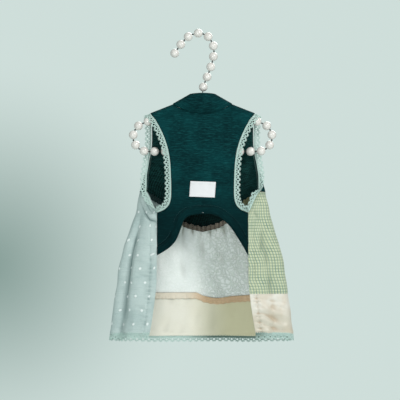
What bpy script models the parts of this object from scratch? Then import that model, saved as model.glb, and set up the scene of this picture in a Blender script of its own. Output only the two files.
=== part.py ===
"""Dog dress on a bead hanger: jersey bodice with a mock collar, patchwork skirt and lace trims.

Units are metres, +Z is up. The belly side faces -Y and the side of the dog's back faces +Y.
Shapes are laid out in the dress frame, whose origin is the middle of the collar's top edge.
A drop is a distance below that edge. An empty then moves the whole dress, so that the
world's origin is the seat inside the hook, where the hanger hangs.

An angle round the dress is 0 at the middle of the belly, 90 at the fold of a side and
180 at the middle of the back. The two sides mirror each other, apart from the arch, the
folds and the lace at the armholes.
"""

import math
from collections import namedtuple

import bmesh
import bpy
from mathutils import Matrix, Vector

# Overall sizes of the dress
DRESS_LENGTH = 0.3425
HEM_WIDTH = 0.246
HEM_DEPTH = 0.080
HEM_RISE = 0.007
LOWER_TIER_HEIGHT = 0.060
FLAP_SPACING = 0.145

# Bodice
SHOULDER_WIDTH = 0.141
SHOULDER_DROP = 0.0278
NECK_WIDTH = 0.080
NECK_POINT_DROP = 0.0158
BELLY_NECK_DIP = 0.0115
BACK_NECK_DIP = 0.004
CHEST_WIDTH = 0.084
BELLY_WIDTH = 0.123
BELLY_LENGTH = 0.220
ARMHOLE_DEPTH = 0.163
ARMHOLE_BACK_WIDTH = 0.151
ARMHOLE_TURN_DROP = 0.078
ARMHOLE_SIDE_DROP = 0.134
WAIST_DROP = 0.184
ARCH_HEIGHT = 0.056
BELLY_CROWN = 0.0085
BAND_WIDTH = 0.0095
COLLAR_TOP_WIDTH = 0.034
COLLAR_DEPTH = 0.0185
COLLAR_TOP_DIP = 0.0018

# Trims and small pieces
LACE_WIDTH = 0.010
ARMHOLE_SCALLOPS = 32
HEM_SCALLOPS = 42
LABEL_WIDTH = 0.0345
LABEL_HEIGHT = 0.021
LABEL_DROP = 0.131
RUFFLE_HEIGHT = 0.0068
RUFFLE_DEPTH = 0.0008
TAPE_HEIGHT = 0.0085
TIER_WAVE_DEPTH = 0.0077

# Depth of the skirt's folds and of the gathers under the waist
FOLD_DEPTH = 0.006
GATHER_DEPTH = 0.0022
GATHER_LENGTH = 0.050
GATHER_START = 0.010
GATHER_COUNT = 13

# Hanger
HANGER_WIDTH = 0.201
HANGER_BAR_DROP = 0.0795
HOOK_WIDTH = 0.0531
HOOK_HEIGHT = 0.0813
HOOK_BEADS = 10
BEAD_DIAMETER = 0.012
BEAD_PITCH = 0.0146
WIRE_DIAMETER = 0.002

# Walls and clearances
JERSEY_WALL = 0.0016
SKIRT_WALL = 0.0012
LACE_WALL = 0.0010
RUFFLE_WALL = 0.0020
TAPE_WALL = 0.0010
LABEL_WALL = 0.0010
SEAM_GAP = 0.0005
LAID_GAP = 0.0003
HANGER_CLEARANCE = 0.0004
HANGER_SLACK = 0.0015
NECK_SLIT = 0.0020

# Half of the garment's cross-section at each drop. drop is a share of DRESS_LENGTH and
# half_width a share of half of HEM_WIDTH. The bulges are how far the belly and the back
# stand off their side edges, as shares of HEM_DEPTH. The side columns are how far those
# edges stand off the hanger's plane, as shares of the room that the hanger needs. fullness
# is 1 for a cross-section that is pointed at its sides and 2 for an ellipse.
Section = namedtuple("Section", "drop half_width belly_bulge back_bulge belly_side back_side fullness")
SECTIONS = [
    Section(0.000, 0.575, 0.000, 0.000, -1.00, 1.00, 1.0),
    Section(0.079, 0.575, 0.000, 0.000, -1.00, 1.00, 1.0),
    Section(0.127, 0.562, 0.040, 0.030, -1.00, 1.15, 1.0),
    Section(0.186, 0.560, 0.090, 0.060, -1.00, 1.25, 1.0),
    Section(0.234, 0.569, 0.130, 0.095, -1.00, 1.25, 1.4),
    Section(0.267, 0.585, 0.150, 0.120, -0.80, 1.15, 2.0),
    Section(0.296, 0.605, 0.168, 0.138, -0.60, 1.05, 2.0),
    Section(0.329, 0.641, 0.200, 0.175, -0.15, 0.80, 2.0),
    Section(0.365, 0.674, 0.240, 0.215, 0.40, 0.40, 2.0),
    Section(0.424, 0.707, 0.265, 0.260, 0.15, 0.15, 2.0),
    Section(0.476, 0.740, 0.290, 0.300, 0.00, 0.00, 2.0),
    Section(0.567, 0.818, 0.330, 0.365, 0.00, 0.00, 2.0),
    Section(0.642, 0.878, 0.365, 0.425, 0.00, 0.00, 2.0),
    Section(0.782, 0.939, 0.400, 0.495, 0.00, 0.00, 2.0),
    Section(0.952, 1.000, 0.435, 0.560, 0.00, 0.00, 2.0),
    Section(1.000, 1.005, 0.440, 0.570, 0.00, 0.00, 2.0),
]

# Side edge of the belly panel, from the shoulder tip to the bottom of the armhole. The
# edge starts at the shoulder's width, narrows to the chest's and ends at the belly's.
BellyEdge = namedtuple("BellyEdge", "drop toward_shoulder toward_belly")
BELLY_EDGES = [
    BellyEdge(0.00, 1.000, 0.00),
    BellyEdge(0.08, 0.714, 0.00),
    BellyEdge(0.20, 0.414, 0.00),
    BellyEdge(0.33, 0.190, 0.00),
    BellyEdge(0.47, 0.062, 0.00),
    BellyEdge(0.62, 0.015, 0.00),
    BellyEdge(0.77, 0.000, 0.00),
    BellyEdge(0.87, 0.000, 0.04),
    BellyEdge(0.94, 0.000, 0.25),
    BellyEdge(0.98, 0.000, 0.62),
    BellyEdge(1.00, 0.000, 1.00),
]

# Lower edge of the belly panel on each side of the middle: across is a share of half of
# BELLY_WIDTH, and fall a share of ARCH_HEIGHT below the top of the arch.
ArchPoint = namedtuple("ArchPoint", "across fall")
LEFT_ARCH = [
    ArchPoint(0.00, 0.00),
    ArchPoint(0.20, 0.02),
    ArchPoint(0.32, 0.06),
    ArchPoint(0.42, 0.17),
    ArchPoint(0.48, 0.35),
    ArchPoint(0.57, 0.60),
    ArchPoint(0.67, 0.75),
    ArchPoint(0.79, 0.86),
    ArchPoint(1.00, 1.00),
]
RIGHT_ARCH = [
    ArchPoint(0.00, 0.00),
    ArchPoint(0.20, 0.01),
    ArchPoint(0.35, 0.06),
    ArchPoint(0.47, 0.16),
    ArchPoint(0.57, 0.26),
    ArchPoint(0.66, 0.38),
    ArchPoint(0.76, 0.55),
    ArchPoint(0.90, 0.80),
    ArchPoint(1.00, 1.00),
]

# Seam between the bodice and the skirt behind the armhole, by angle. fall is a share of
# the way from the armhole's side corner down to the waist at the middle of the back.
WaistPoint = namedtuple("WaistPoint", "angle fall")
WAISTLINE = [
    WaistPoint(60, 0.00),
    WaistPoint(90, 0.02),
    WaistPoint(110, 0.06),
    WaistPoint(130, 0.17),
    WaistPoint(144, 0.38),
    WaistPoint(155, 0.66),
    WaistPoint(165, 0.87),
    WaistPoint(180, 1.00),
]

# Seam between the middle of the skirt's back and its sides: half of the middle's width,
# as a share of the half width at that drop.
CenterSeam = namedtuple("CenterSeam", "drop half_width")
CENTER_SEAMS = [
    CenterSeam(0.46, 0.430),
    CenterSeam(0.56, 0.520),
    CenterSeam(0.66, 0.600),
    CenterSeam(0.81, 0.640),
    CenterSeam(1.00, 0.685),
]

# Free edge of a skirt side below the belly panel: spread is the share of the way from the
# belly's width to the spacing of the flaps at the hem.
FlapEdge = namedtuple("FlapEdge", "drop spread")
FLAP_EDGES = [
    FlapEdge(0.0, 0.00),
    FlapEdge(0.4, 0.12),
    FlapEdge(0.7, 0.50),
    FlapEdge(1.0, 1.00),
]

# Dip of the seam between the skirt's tiers, in the angle counted from the belly over +X.
TierWave = namedtuple("TierWave", "angle dip")
TIER_WAVES = [
    TierWave(110, 0.00),
    TierWave(144, 0.38),
    TierWave(151, 0.50),
    TierWave(160, 0.66),
    TierWave(170, 1.00),
    TierWave(179, 0.62),
    TierWave(185, 0.00),
    TierWave(250, 0.00),
]

# Long folds of the skirt. side is +1 at +X and -1 at -X, angle and width are in degrees,
# depth is a share of FOLD_DEPTH, outwards where positive, and the fold runs between two
# drops, which are shares of DRESS_LENGTH.
Fold = namedtuple("Fold", "side angle width depth start end")
FOLDS = [
    Fold(-1, 66, 7, -0.75, 0.40, 1.10),
    Fold(-1, 52, 9, 0.50, 0.48, 1.10),
    Fold(-1, 84, 8, 0.45, 0.50, 1.10),
    Fold(-1, 106, 9, -0.90, 0.44, 1.10),
    Fold(-1, 128, 9, 0.90, 0.42, 1.10),
    Fold(-1, 150, 9, -0.70, 0.50, 1.10),
    Fold(1, 54, 6, -0.60, 0.42, 0.95),
    Fold(1, 70, 9, 0.45, 0.45, 1.10),
    Fold(1, 100, 9, -0.90, 0.44, 1.10),
    Fold(1, 122, 9, 0.90, 0.42, 1.10),
    Fold(1, 146, 10, -0.80, 0.50, 1.10),
    Fold(1, 168, 11, 0.80, 0.58, 1.10),
    Fold(-1, 172, 11, -0.35, 0.58, 1.10),
]

# Which way the armholes' lace points along their lower edge, from the side seam to the
# armhole's outer corner. It stands up on the right. On the left it is folded outwards.
LaceWay = namedtuple("LaceWay", "along outward forward up")
STANDING_LACE = [
    LaceWay(0.00, 0.25, 0.25, 0.90),
    LaceWay(0.20, -0.15, 0.30, 0.95),
    LaceWay(0.70, -0.40, 0.30, 0.85),
    LaceWay(0.88, -0.10, 0.90, 0.45),
    LaceWay(1.00, 0.35, 0.90, 0.10),
    LaceWay(1.12, 0.80, 0.55, 0.00),
    LaceWay(1.30, 0.98, 0.10, 0.05),
    LaceWay(1.45, 1.00, 0.00, 0.08),
    LaceWay(2.00, 1.00, 0.00, 0.10),
]
FOLDED_LACE = [
    LaceWay(0.00, 0.20, 0.35, 0.90),
    LaceWay(0.24, 0.45, 0.90, 0.15),
    LaceWay(0.50, 0.72, 0.45, -0.50),
    LaceWay(0.75, 0.84, 0.25, -0.45),
    LaceWay(1.00, 0.95, 0.20, -0.25),
    LaceWay(1.20, 0.98, 0.15, 0.00),
    LaceWay(1.45, 1.00, 0.00, 0.05),
    LaceWay(2.00, 1.00, 0.00, 0.10),
]

# The hook's route: across is a share of HOOK_WIDTH and up a share of HOOK_HEIGHT, from
# the top of the hanger's loop to the tip.
HOOK_ROUTE = [
    (0.015, 0.094),
    (0.105, 0.251),
    (0.201, 0.419),
    (0.266, 0.572),
    (0.286, 0.759),
    (0.147, 0.940),
    (-0.107, 1.000),
    (-0.371, 0.940),
    (-0.567, 0.804),
    (-0.714, 0.664),
]

# Mesh resolution of the pieces
BELLY_HALF_COLUMNS = [0.0, 0.20, 0.34, 0.43, 0.50, 0.575, 0.69, 0.85, 1.0]
BELLY_ROWS = [0, 0.16, 0.36, 0.57, 0.765, 0.89, 0.955, 1, 1.5, 2]
BELLY_ARMHOLE_ROWS = 8
BACK_ROWS = [0, 0.22, 0.46, 0.66, 0.83, 1]
SHOULDER_STEPS = 3
COLLAR_COLUMNS = 16
SIDE_COLUMNS = 14
UPPER_TIER_ROWS = 6
LOWER_TIER_ROWS = 2
MIDDLE_COLUMNS = 16
BEAD_SIDES_RESOLUTION = 3
BEAD_RING_ANGLES = (-60, -21, 21, 60)


def smooth(table, column, at):
    """A column of a table of named rows, read at a value of its first column through a smooth curve."""
    knots = [row[0] for row in table]
    values = [getattr(row, column) for row in table]
    at = min(max(at, knots[0]), knots[-1])
    index = max(i for i in range(len(knots) - 1) if knots[i] <= at)
    step = knots[index + 1] - knots[index]
    slopes = []
    for i in (index, index + 1):
        before, after = max(i - 1, 0), min(i + 1, len(knots) - 1)
        slope = (values[after] - values[before]) / (knots[after] - knots[before])
        flat_end = (values[after] - values[i]) * (values[i] - values[before]) <= 0
        slopes.append(0.0 if flat_end and 0 < i < len(knots) - 1 else slope)
    t = (at - knots[index]) / step
    rise = values[index + 1] - values[index]
    start = values[index]
    return start + t * t * (3 - 2 * t) * rise + step * t * (1 - t) * ((1 - t) * slopes[0] - t * slopes[1])


def blend(a, b, share):
    return a + (b - a) * share


def ease(share):
    share = min(max(share, 0.0), 1.0)
    return share * share * (3 - 2 * share)


# Room from the hanger's plane to the middle of the jersey that lies over the beads
HANGER_ROOM = BEAD_DIAMETER / 2 + HANGER_CLEARANCE + JERSEY_WALL / 2
SHOULDER_SLOPE = math.atan2(SHOULDER_DROP - NECK_POINT_DROP, (SHOULDER_WIDTH - NECK_WIDTH) / 2)
HANGER_TOP_DROP = (
    NECK_POINT_DROP
    - math.tan(SHOULDER_SLOPE) * NECK_WIDTH / 2
    + (HANGER_ROOM + HANGER_SLACK) / math.cos(SHOULDER_SLOPE)
)


def half_width(drop):
    return smooth(SECTIONS, "half_width", drop / DRESS_LENGTH) * HEM_WIDTH / 2


def shoulder_drop(x):
    """Drop of the shoulder seam's straight line, carried on under the collar."""
    return NECK_POINT_DROP + math.tan(SHOULDER_SLOPE) * (abs(x) - NECK_WIDTH / 2)


def shoulder_rounding(x, drop):
    """1 well below the shoulder, falling to nearly 0 where the cloth goes over the beads."""
    below = (drop - shoulder_drop(x)) * math.cos(SHOULDER_SLOPE)
    level = max(1 - below / HANGER_ROOM, 0.0)
    slit = blend(NECK_SLIT, SEAM_GAP, ease((abs(x) / NECK_WIDTH - 0.5) * 8))
    return max(math.sqrt(max(1 - level**2, 0.0)), slit / 2 / HANGER_ROOM)


def drop_between(top, bottom, row):
    """The drop at a row: from -1 to 0 the cloth bends over the hanger, from 0 to 1 it falls."""
    bent = HANGER_ROOM / math.cos(SHOULDER_SLOPE)
    if row < 0:
        return top + bent * (1 - math.cos(math.pi / 2 * (row + 1)))
    return blend(top + bent, bottom, row)


def shoulder_rows(rows):
    return [i / SHOULDER_STEPS - 1 for i in range(SHOULDER_STEPS)] + rows


def garment_point(side, angle, drop, outward=0.0):
    """A point of the garment's middle surface, moved outwards by a distance."""
    share = drop / DRESS_LENGTH
    width = half_width(drop)
    turn = math.radians(angle)
    on_belly = angle < 90
    bulge = smooth(SECTIONS, "belly_bulge" if on_belly else "back_bulge", share) * HEM_DEPTH
    rest = smooth(SECTIONS, "back_side", share) * HANGER_ROOM
    reach = abs(math.cos(turn)) ** (2 / smooth(SECTIONS, "fullness", share))
    x = side * width * math.sin(turn)
    y = rest + (-bulge if on_belly else bulge) * reach
    y *= shoulder_rounding(x, drop)
    normal = Vector((side * math.sin(turn) / width, -math.cos(turn) / (bulge + HEM_DEPTH / 4), 0)).normalized()
    return Vector((x, y, -drop)) + normal * (outward + fold_offset(side, angle, drop))


def fold_offset(side, angle, drop):
    """How far the skirt's folds and gathers move its cloth outwards."""
    share = drop / DRESS_LENGTH
    total = 0.0
    for fold in FOLDS:
        for near in (angle, 360 - angle):
            same_side = fold.side == (side if near == angle else -side)
            if same_side and share > fold.start:
                ridge = math.exp(-(((near - fold.angle) / fold.width) ** 2))
                total += FOLD_DEPTH * fold.depth * ridge * ease((share - fold.start) / 0.22)
    below_waist = drop - waist_drop(angle)
    if angle > 90 and below_waist > 0:
        wave = math.cos(math.radians((180 - angle) * GATHER_COUNT * 2))
        wave *= math.exp(-below_waist / GATHER_LENGTH) - math.exp(-below_waist / GATHER_START)
        total += GATHER_DEPTH * wave * ease((angle - 90) / 30)
    return total


def belly_point(x, drop, outward=0.0):
    """A point of the belly layer by its distance from the middle, in front view."""
    share = drop / DRESS_LENGTH
    core = max(1 - (x / half_width(drop)) ** 2, 0.0)
    bulge = smooth(SECTIONS, "belly_bulge", share) * HEM_DEPTH
    rest = smooth(SECTIONS, "belly_side", share) * HANGER_ROOM
    y = rest - bulge * core ** (1 / smooth(SECTIONS, "fullness", share))
    return Vector((x, y * shoulder_rounding(x, drop) - outward, -drop))


def belly_edge(drop):
    """Half of the belly panel's width."""
    share = (drop - SHOULDER_DROP) / (ARMHOLE_DEPTH - SHOULDER_DROP)
    chest = CHEST_WIDTH / 2
    to_shoulder = smooth(BELLY_EDGES, "toward_shoulder", share) * (SHOULDER_WIDTH / 2 - chest)
    to_belly = smooth(BELLY_EDGES, "toward_belly", share) * (BELLY_WIDTH / 2 - chest)
    return chest + to_shoulder + to_belly


def neck_drop(x, dip):
    """Drop of the seam between collar and body: a curve in the middle, then the shoulder seam."""
    across = abs(x) / (NECK_WIDTH / 2)
    if across < 1:
        return NECK_POINT_DROP + dip * (1 - across**2)
    return shoulder_drop(x)


def arch_point(across, inset=0.0):
    """A point (x, drop) of the belly arch, moved into the panel.

    It moves at a right angle to the edge, and along the side seam next to the arch's ends.
    """
    def edge(at):
        fall = smooth(RIGHT_ARCH if at > 0 else LEFT_ARCH, "fall", min(abs(at), 1.0))
        return Vector((at * BELLY_WIDTH / 2, BELLY_LENGTH - ARCH_HEIGHT * (1 - fall)))

    step = 0.02
    along = edge(min(across + step, 1)) - edge(max(across - step, -1))
    into = Vector((along.y, -along.x)).normalized()
    upward = Vector((0, -1 / max(-into.y, 0.55)))
    x, drop = edge(across) + into.lerp(upward, ease((abs(across) - 0.6) / 0.4)) * inset
    return x, drop


def waist_drop(angle):
    fall = smooth(WAISTLINE, "fall", angle)
    return blend(ARMHOLE_SIDE_DROP, WAIST_DROP, fall)


def armhole_corner_angle():
    """Angle of the armhole's lower side corner, on the belly side of the fold."""
    return math.degrees(math.asin(min(ARMHOLE_BACK_WIDTH / 2 / half_width(ARMHOLE_SIDE_DROP), 1.0)))


def armhole_back_angle(drop):
    """Angle of the armhole's back edge, which comes round the fold to the corner at its bottom."""
    turned = ease((drop - ARMHOLE_TURN_DROP) / (ARMHOLE_SIDE_DROP - ARMHOLE_TURN_DROP))
    return blend(90, armhole_corner_angle(), turned)


def flap_edge(drop):
    """Half of the distance between the skirt's two side flaps."""
    hem = DRESS_LENGTH - LACE_WIDTH
    spread = smooth(FLAP_EDGES, "spread", (drop - BELLY_LENGTH) / (hem - BELLY_LENGTH))
    return blend(BELLY_WIDTH, FLAP_SPACING, spread) / 2


def flap_angle(drop):
    return math.degrees(math.asin((flap_edge(drop) + SEAM_GAP / 2) / half_width(drop)))


def center_seam_angle(drop):
    return 180 - math.degrees(math.asin(smooth(CENTER_SEAMS, "half_width", drop / DRESS_LENGTH)))


def skirt_top_drop(angle):
    """Upper edge of the skirt: the waist seam, then the bottom of the armhole up to the side seam."""
    corner = armhole_corner_angle()
    if angle >= corner:
        return waist_drop(angle)
    share = (corner - angle) / (corner - flap_angle(ARMHOLE_DEPTH))
    return blend(waist_drop(corner), ARMHOLE_DEPTH, share**1.3)


def hem_drop(angle):
    """Lower edge of the skirt's cloth, which rises towards the belly."""
    back = DRESS_LENGTH - LACE_WIDTH
    return back - HEM_RISE * (1 - ease((angle - 40) / 120))


def tier_seam_drop(side, angle):
    """Seam between the skirt's upper and lower tier."""
    turned = angle if side > 0 else 360 - angle
    wave = smooth(TIER_WAVES, "dip", turned) * TIER_WAVE_DEPTH
    return DRESS_LENGTH - LACE_WIDTH - LOWER_TIER_HEIGHT + wave


def material(name, color, roughness, metallic=0.0):
    made = bpy.data.materials.new(name)
    made.use_nodes = True
    shader = made.node_tree.nodes["Principled BSDF"]
    shader.inputs["Base Color"].default_value = (*color, 1.0)
    shader.inputs["Roughness"].default_value = roughness
    shader.inputs["Metallic"].default_value = metallic
    return made


def finish_object(name, mesh_or_curve, look):
    """An object on the hanging point, with its own material."""
    made = bpy.data.objects.new(name, mesh_or_curve)
    bpy.context.scene.collection.objects.link(made)
    made.parent = bpy.data.objects["hanging_point"]
    made.data.materials.append(look)
    return made


def add_wall(made, thickness):
    wall = made.modifiers.new("wall", "SOLIDIFY")
    wall.thickness = thickness
    wall.offset = 0.0


def cloth(name, columns, rows, place, thickness, look, closed=False):
    """A sheet of cloth: a grid whose point at each column and row value goes where place says."""
    bm = bmesh.new()
    bmesh.ops.create_grid(bm, x_segments=len(columns) - 1, y_segments=len(rows) - 1, size=1)
    for vert in bm.verts:
        column = columns[round((vert.co.x + 1) / 2 * (len(columns) - 1))]
        row = rows[round((vert.co.y + 1) / 2 * (len(rows) - 1))]
        vert.co = place(column, row)
    if closed:
        bmesh.ops.remove_doubles(bm, verts=bm.verts, dist=1e-6)
    mesh = bpy.data.meshes.new(name)
    bm.to_mesh(mesh)
    bm.free()
    mesh.shade_smooth()
    made = finish_object(name, mesh, look)
    add_wall(made, thickness)
    return made


def shares(count):
    return [i / count for i in range(count + 1)]


def both_halves(half):
    return [-value for value in reversed(half[1:])] + half


def make_collar(look):
    """The mock collar: a flattened ring that stands on the neckline and narrows to its open top."""
    def place(turn, height):
        sine, cosine = math.sin(turn), math.cos(turn)
        neck_x = NECK_WIDTH / 2 * sine
        dip = BELLY_NECK_DIP if cosine > 0 else BACK_NECK_DIP
        drop = NECK_POINT_DROP + dip * cosine**2
        seam_gap = SEAM_GAP + (JERSEY_WALL / 2) * abs(sine) ** 6
        lift = Vector((0, 0, seam_gap))
        if cosine > 0:
            base = belly_point(neck_x, drop) + lift
        else:
            angle = 180 - math.degrees(math.asin(min(abs(neck_x) / half_width(drop), 1)))
            base = garment_point(math.copysign(1, sine), angle, drop) + lift
        base.y *= min(1.0, 8 * abs(cosine))
        top = Vector((COLLAR_TOP_WIDTH / 2 * sine, -COLLAR_DEPTH / 2 * cosine, -COLLAR_TOP_DIP * sine**2))
        bulge = Vector((0, -0.0012 * cosine, 0)) * math.sin(math.pi * height)
        return base.lerp(top, height) + bulge

    turns = [2 * math.pi * share for share in shares(COLLAR_COLUMNS)]
    return cloth("collar", turns, shares(2), place, JERSEY_WALL, look, closed=True)


def belly_panel_place(across, row):
    """A point of the belly panel, across from armhole to armhole.

    Its row goes from 0 under the shoulder to 1 at the bottom of the armholes and 2 at the band.
    In the middle row 1 rises, to stay BELLY_CROWN above the band.
    """
    crown_drop = BELLY_LENGTH - ARCH_HEIGHT - BAND_WIDTH - BELLY_CROWN
    at_armhole = blend(ARMHOLE_DEPTH, crown_drop, (1 - across**2) ** 2)
    if row <= 1:
        edge = belly_edge(drop_between(SHOULDER_DROP, ARMHOLE_DEPTH, row)) - SEAM_GAP / 2
        top = neck_drop(across * (SHOULDER_WIDTH - SEAM_GAP) / 2, BELLY_NECK_DIP)
        return belly_point(across * edge, drop_between(top, at_armhole, row))
    x, drop = arch_point(across, BAND_WIDTH + 1.6 * SEAM_GAP)
    x *= 1 - SEAM_GAP / BELLY_WIDTH
    side_x = across * (BELLY_WIDTH - SEAM_GAP) / 2
    return belly_point(blend(side_x, x, row - 1), blend(at_armhole, drop, row - 1))


def make_belly_panel(look):
    columns, rows = both_halves(BELLY_HALF_COLUMNS), shoulder_rows(BELLY_ROWS)
    return cloth("belly_panel", columns, rows, belly_panel_place, JERSEY_WALL, look)


def make_belly_band(look):
    """The doubled band that binds the belly arch."""
    def place(across, row):
        x, drop = arch_point(across, BAND_WIDTH * row)
        shrink = 1 - SEAM_GAP / BELLY_WIDTH
        return belly_point(x * shrink, drop, outward=0.0004 * math.sin(math.pi * row))

    return cloth("belly_band", both_halves(BELLY_HALF_COLUMNS), shares(2), place, JERSEY_WALL * 1.25, look)


def waist_angles():
    """Angles of the skirt's mesh columns at the waist, from the armhole's corner to the back."""
    corner = armhole_corner_angle()
    middle = 150
    for _ in range(8):
        middle = center_seam_angle(waist_drop(middle))
    sides = [corner]
    for i in reversed(range(SIDE_COLUMNS)):
        share = i / SIDE_COLUMNS
        angle = 90.0
        for _ in range(30):
            drop = skirt_top_drop(angle)
            angle = blend(angle, blend(center_seam_angle(drop), flap_angle(drop), share), 0.5)
        if angle > corner + 6:
            sides.append(angle)
    back = [blend(middle, 180, i * 4 / MIDDLE_COLUMNS) for i in range(1, MIDDLE_COLUMNS // 4 + 1)]
    return sides + back


def make_back_panel(look):
    """The bodice's back, from armhole to armhole round the dog's back."""
    corner = armhole_corner_angle()

    def place(turned, row):
        side = 1 if turned < 180 else -1
        waist_angle = turned if turned < 180 else 360 - turned
        share = (180 - waist_angle) / (180 - corner)
        bottom = waist_drop(waist_angle) - SEAM_GAP / 2
        drop = SHOULDER_DROP
        for _ in range(8):
            angle = 180 - share * (180 - armhole_back_angle(drop))
            x = half_width(drop) * math.sin(math.radians(angle))
            top = neck_drop(x, BACK_NECK_DIP) if angle >= 90 else SHOULDER_DROP
            drop = drop_between(min(top, SHOULDER_DROP), bottom, row)
        return garment_point(side, angle, drop)

    angles = waist_angles()
    columns = angles + [360 - angle for angle in reversed(angles[:-1])]
    return cloth("back_panel", columns, shoulder_rows(BACK_ROWS), place, JERSEY_WALL, look)


def make_skirt_side(name, side, look, levels, rows):
    """A side of the skirt: from the middle of its back round the fold to the free flap edge.

    levels are functions of the angle, each giving the drop at the next whole row from the top.
    """
    def place(share, row):
        angle = 90
        above = min(int(row), len(levels) - 2)
        for _ in range(8):
            drop = blend(levels[above](angle), levels[above + 1](angle), row - above)
            seam = center_seam_angle(drop) - math.degrees(SEAM_GAP / 2 / half_width(drop))
            angle = blend(seam, flap_angle(drop), share)
        return garment_point(side, angle, drop)

    return cloth(name, shares(SIDE_COLUMNS), rows, place, SKIRT_WALL, look)


def middle_place(across, drop_at):
    """Side, angle and drop of a point in the middle of the skirt's back, across from seam to seam."""
    side = 1 if across >= 0 else -1
    angle = 180
    for _ in range(8):
        drop = drop_at(side, angle)
        edge = 180 - center_seam_angle(drop) - math.degrees(SEAM_GAP / 2 / half_width(drop))
        angle = 180 - abs(across) * edge
    return side, angle, drop


def make_skirt_back(name, look, top, bottom, columns, rows):
    """The middle of the skirt's back between two drops."""
    def place(across, row):
        return garment_point(*middle_place(
            across, lambda side, angle: blend(bottom(side, angle), top(side, angle), row)
        ))

    return cloth(name, columns, rows, place, SKIRT_WALL, look)


def make_waist_ruffle(look):
    """The gathered seam allowance inside the waist."""
    inward = -(JERSEY_WALL / 2 + RUFFLE_WALL / 2 + RUFFLE_DEPTH + 2 * LAID_GAP)

    def place(turned, row):
        side = 1 if turned < 180 else -1
        angle = turned if turned < 180 else 360 - turned
        drop = waist_drop(angle) - 0.0015 + RUFFLE_HEIGHT * row
        flat = garment_point(side, angle, waist_drop(angle) - 0.0015, inward)
        ripple = RUFFLE_DEPTH * (1 if round(turned / 5) % 2 else -1)
        toward_middle = Vector((-flat.x, -flat.y, 0)).normalized()
        return Vector((flat.x, flat.y, -drop)) + toward_middle * ripple

    columns = [110 + 5 * i for i in range(29)]
    return cloth("waist_ruffle", columns, [1, 0], place, RUFFLE_WALL, look)


def make_tier_tape(look, columns):
    """The seam allowance that lies on the inside of the lower tier, under the tier seam."""
    inward = -(SKIRT_WALL / 2 + TAPE_WALL / 2 + LAID_GAP)

    def place(across, row):
        side, angle, drop = middle_place(
            across, lambda side, angle: tier_seam_drop(side, angle) + SEAM_GAP + TAPE_HEIGHT * row
        )
        return garment_point(side, angle, drop, inward)

    return cloth("tier_tape", columns, [1, 0], place, TAPE_WALL, look)


def make_label(look):
    """The bare woven label on the belly panel, sewn on a little askew."""
    def place(across, up):
        x = across * LABEL_WIDTH / 2 + up * 0.0008
        drop = LABEL_DROP - up * LABEL_HEIGHT / 2 + across * 0.0006
        return belly_point(x, drop, JERSEY_WALL / 2 + LABEL_WALL / 2 + 2 * LAID_GAP)

    return cloth("label", [-1, -0.5, 0, 0.5, 1], [-1, 0, 1], place, LABEL_WALL, look)


class LaceLine:
    """A line of stations, each with a point on the lace's sewn edge and the way the lace points."""

    def __init__(self, stations, closed):
        self.stations = stations + stations[:1] if closed else stations
        self.reached = [0.0]
        for (a, _), (b, _) in zip(self.stations, self.stations[1:]):
            self.reached.append(self.reached[-1] + (b - a).length)

    def at(self, share, across):
        """The point a share of the way along, and a share of LACE_WIDTH off the sewn edge."""
        target = share * self.reached[-1]
        index = max(i for i in range(len(self.stations) - 1) if self.reached[i] <= target + 1e-12)
        span = self.reached[index + 1] - self.reached[index]
        part = (target - self.reached[index]) / span
        (base, way), (next_base, next_way) = self.stations[index], self.stations[index + 1]
        pointing = way.lerp(next_way, part).normalized()
        return base.lerp(next_base, part) + pointing * across * LACE_WIDTH


def make_lace(name, line, scallops, closed, look):
    """A lace strip: scallops with one eyelet each, cut through."""
    bm = bmesh.new()

    def vert(along, across):
        share = along / scallops
        return bm.verts.new(line.at(share % 1.0 if closed else min(share, 1.0), across))

    count = scallops if closed else scallops + 1
    sewn = [vert(i, 0.0) for i in range(count)]
    valley = [vert(i, 0.80) for i in range(count)]
    for i in range(scallops):
        j = (i + 1) % count
        low, right = vert(i + 0.5, 0.26), vert(i + 0.77, 0.5)
        high, left = vert(i + 0.5, 0.74), vert(i + 0.23, 0.5)
        peak = vert(i + 0.5, 1.0)
        for face in (
            (sewn[i], sewn[j], low),
            (sewn[i], low, left),
            (sewn[i], left, valley[i]),
            (valley[i], left, high, peak),
            (sewn[j], right, low),
            (sewn[j], valley[j], right),
            (valley[j], peak, high, right),
        ):
            bm.faces.new(face)
    mesh = bpy.data.meshes.new(name)
    bm.to_mesh(mesh)
    bm.free()
    mesh.shade_smooth()
    made = finish_object(name, mesh, look)
    add_wall(made, LACE_WALL)
    return made


def lace_way(ways, along):
    outward = smooth(ways, "outward", along)
    return Vector((outward, -smooth(ways, "forward", along), smooth(ways, "up", along))).normalized()


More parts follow.
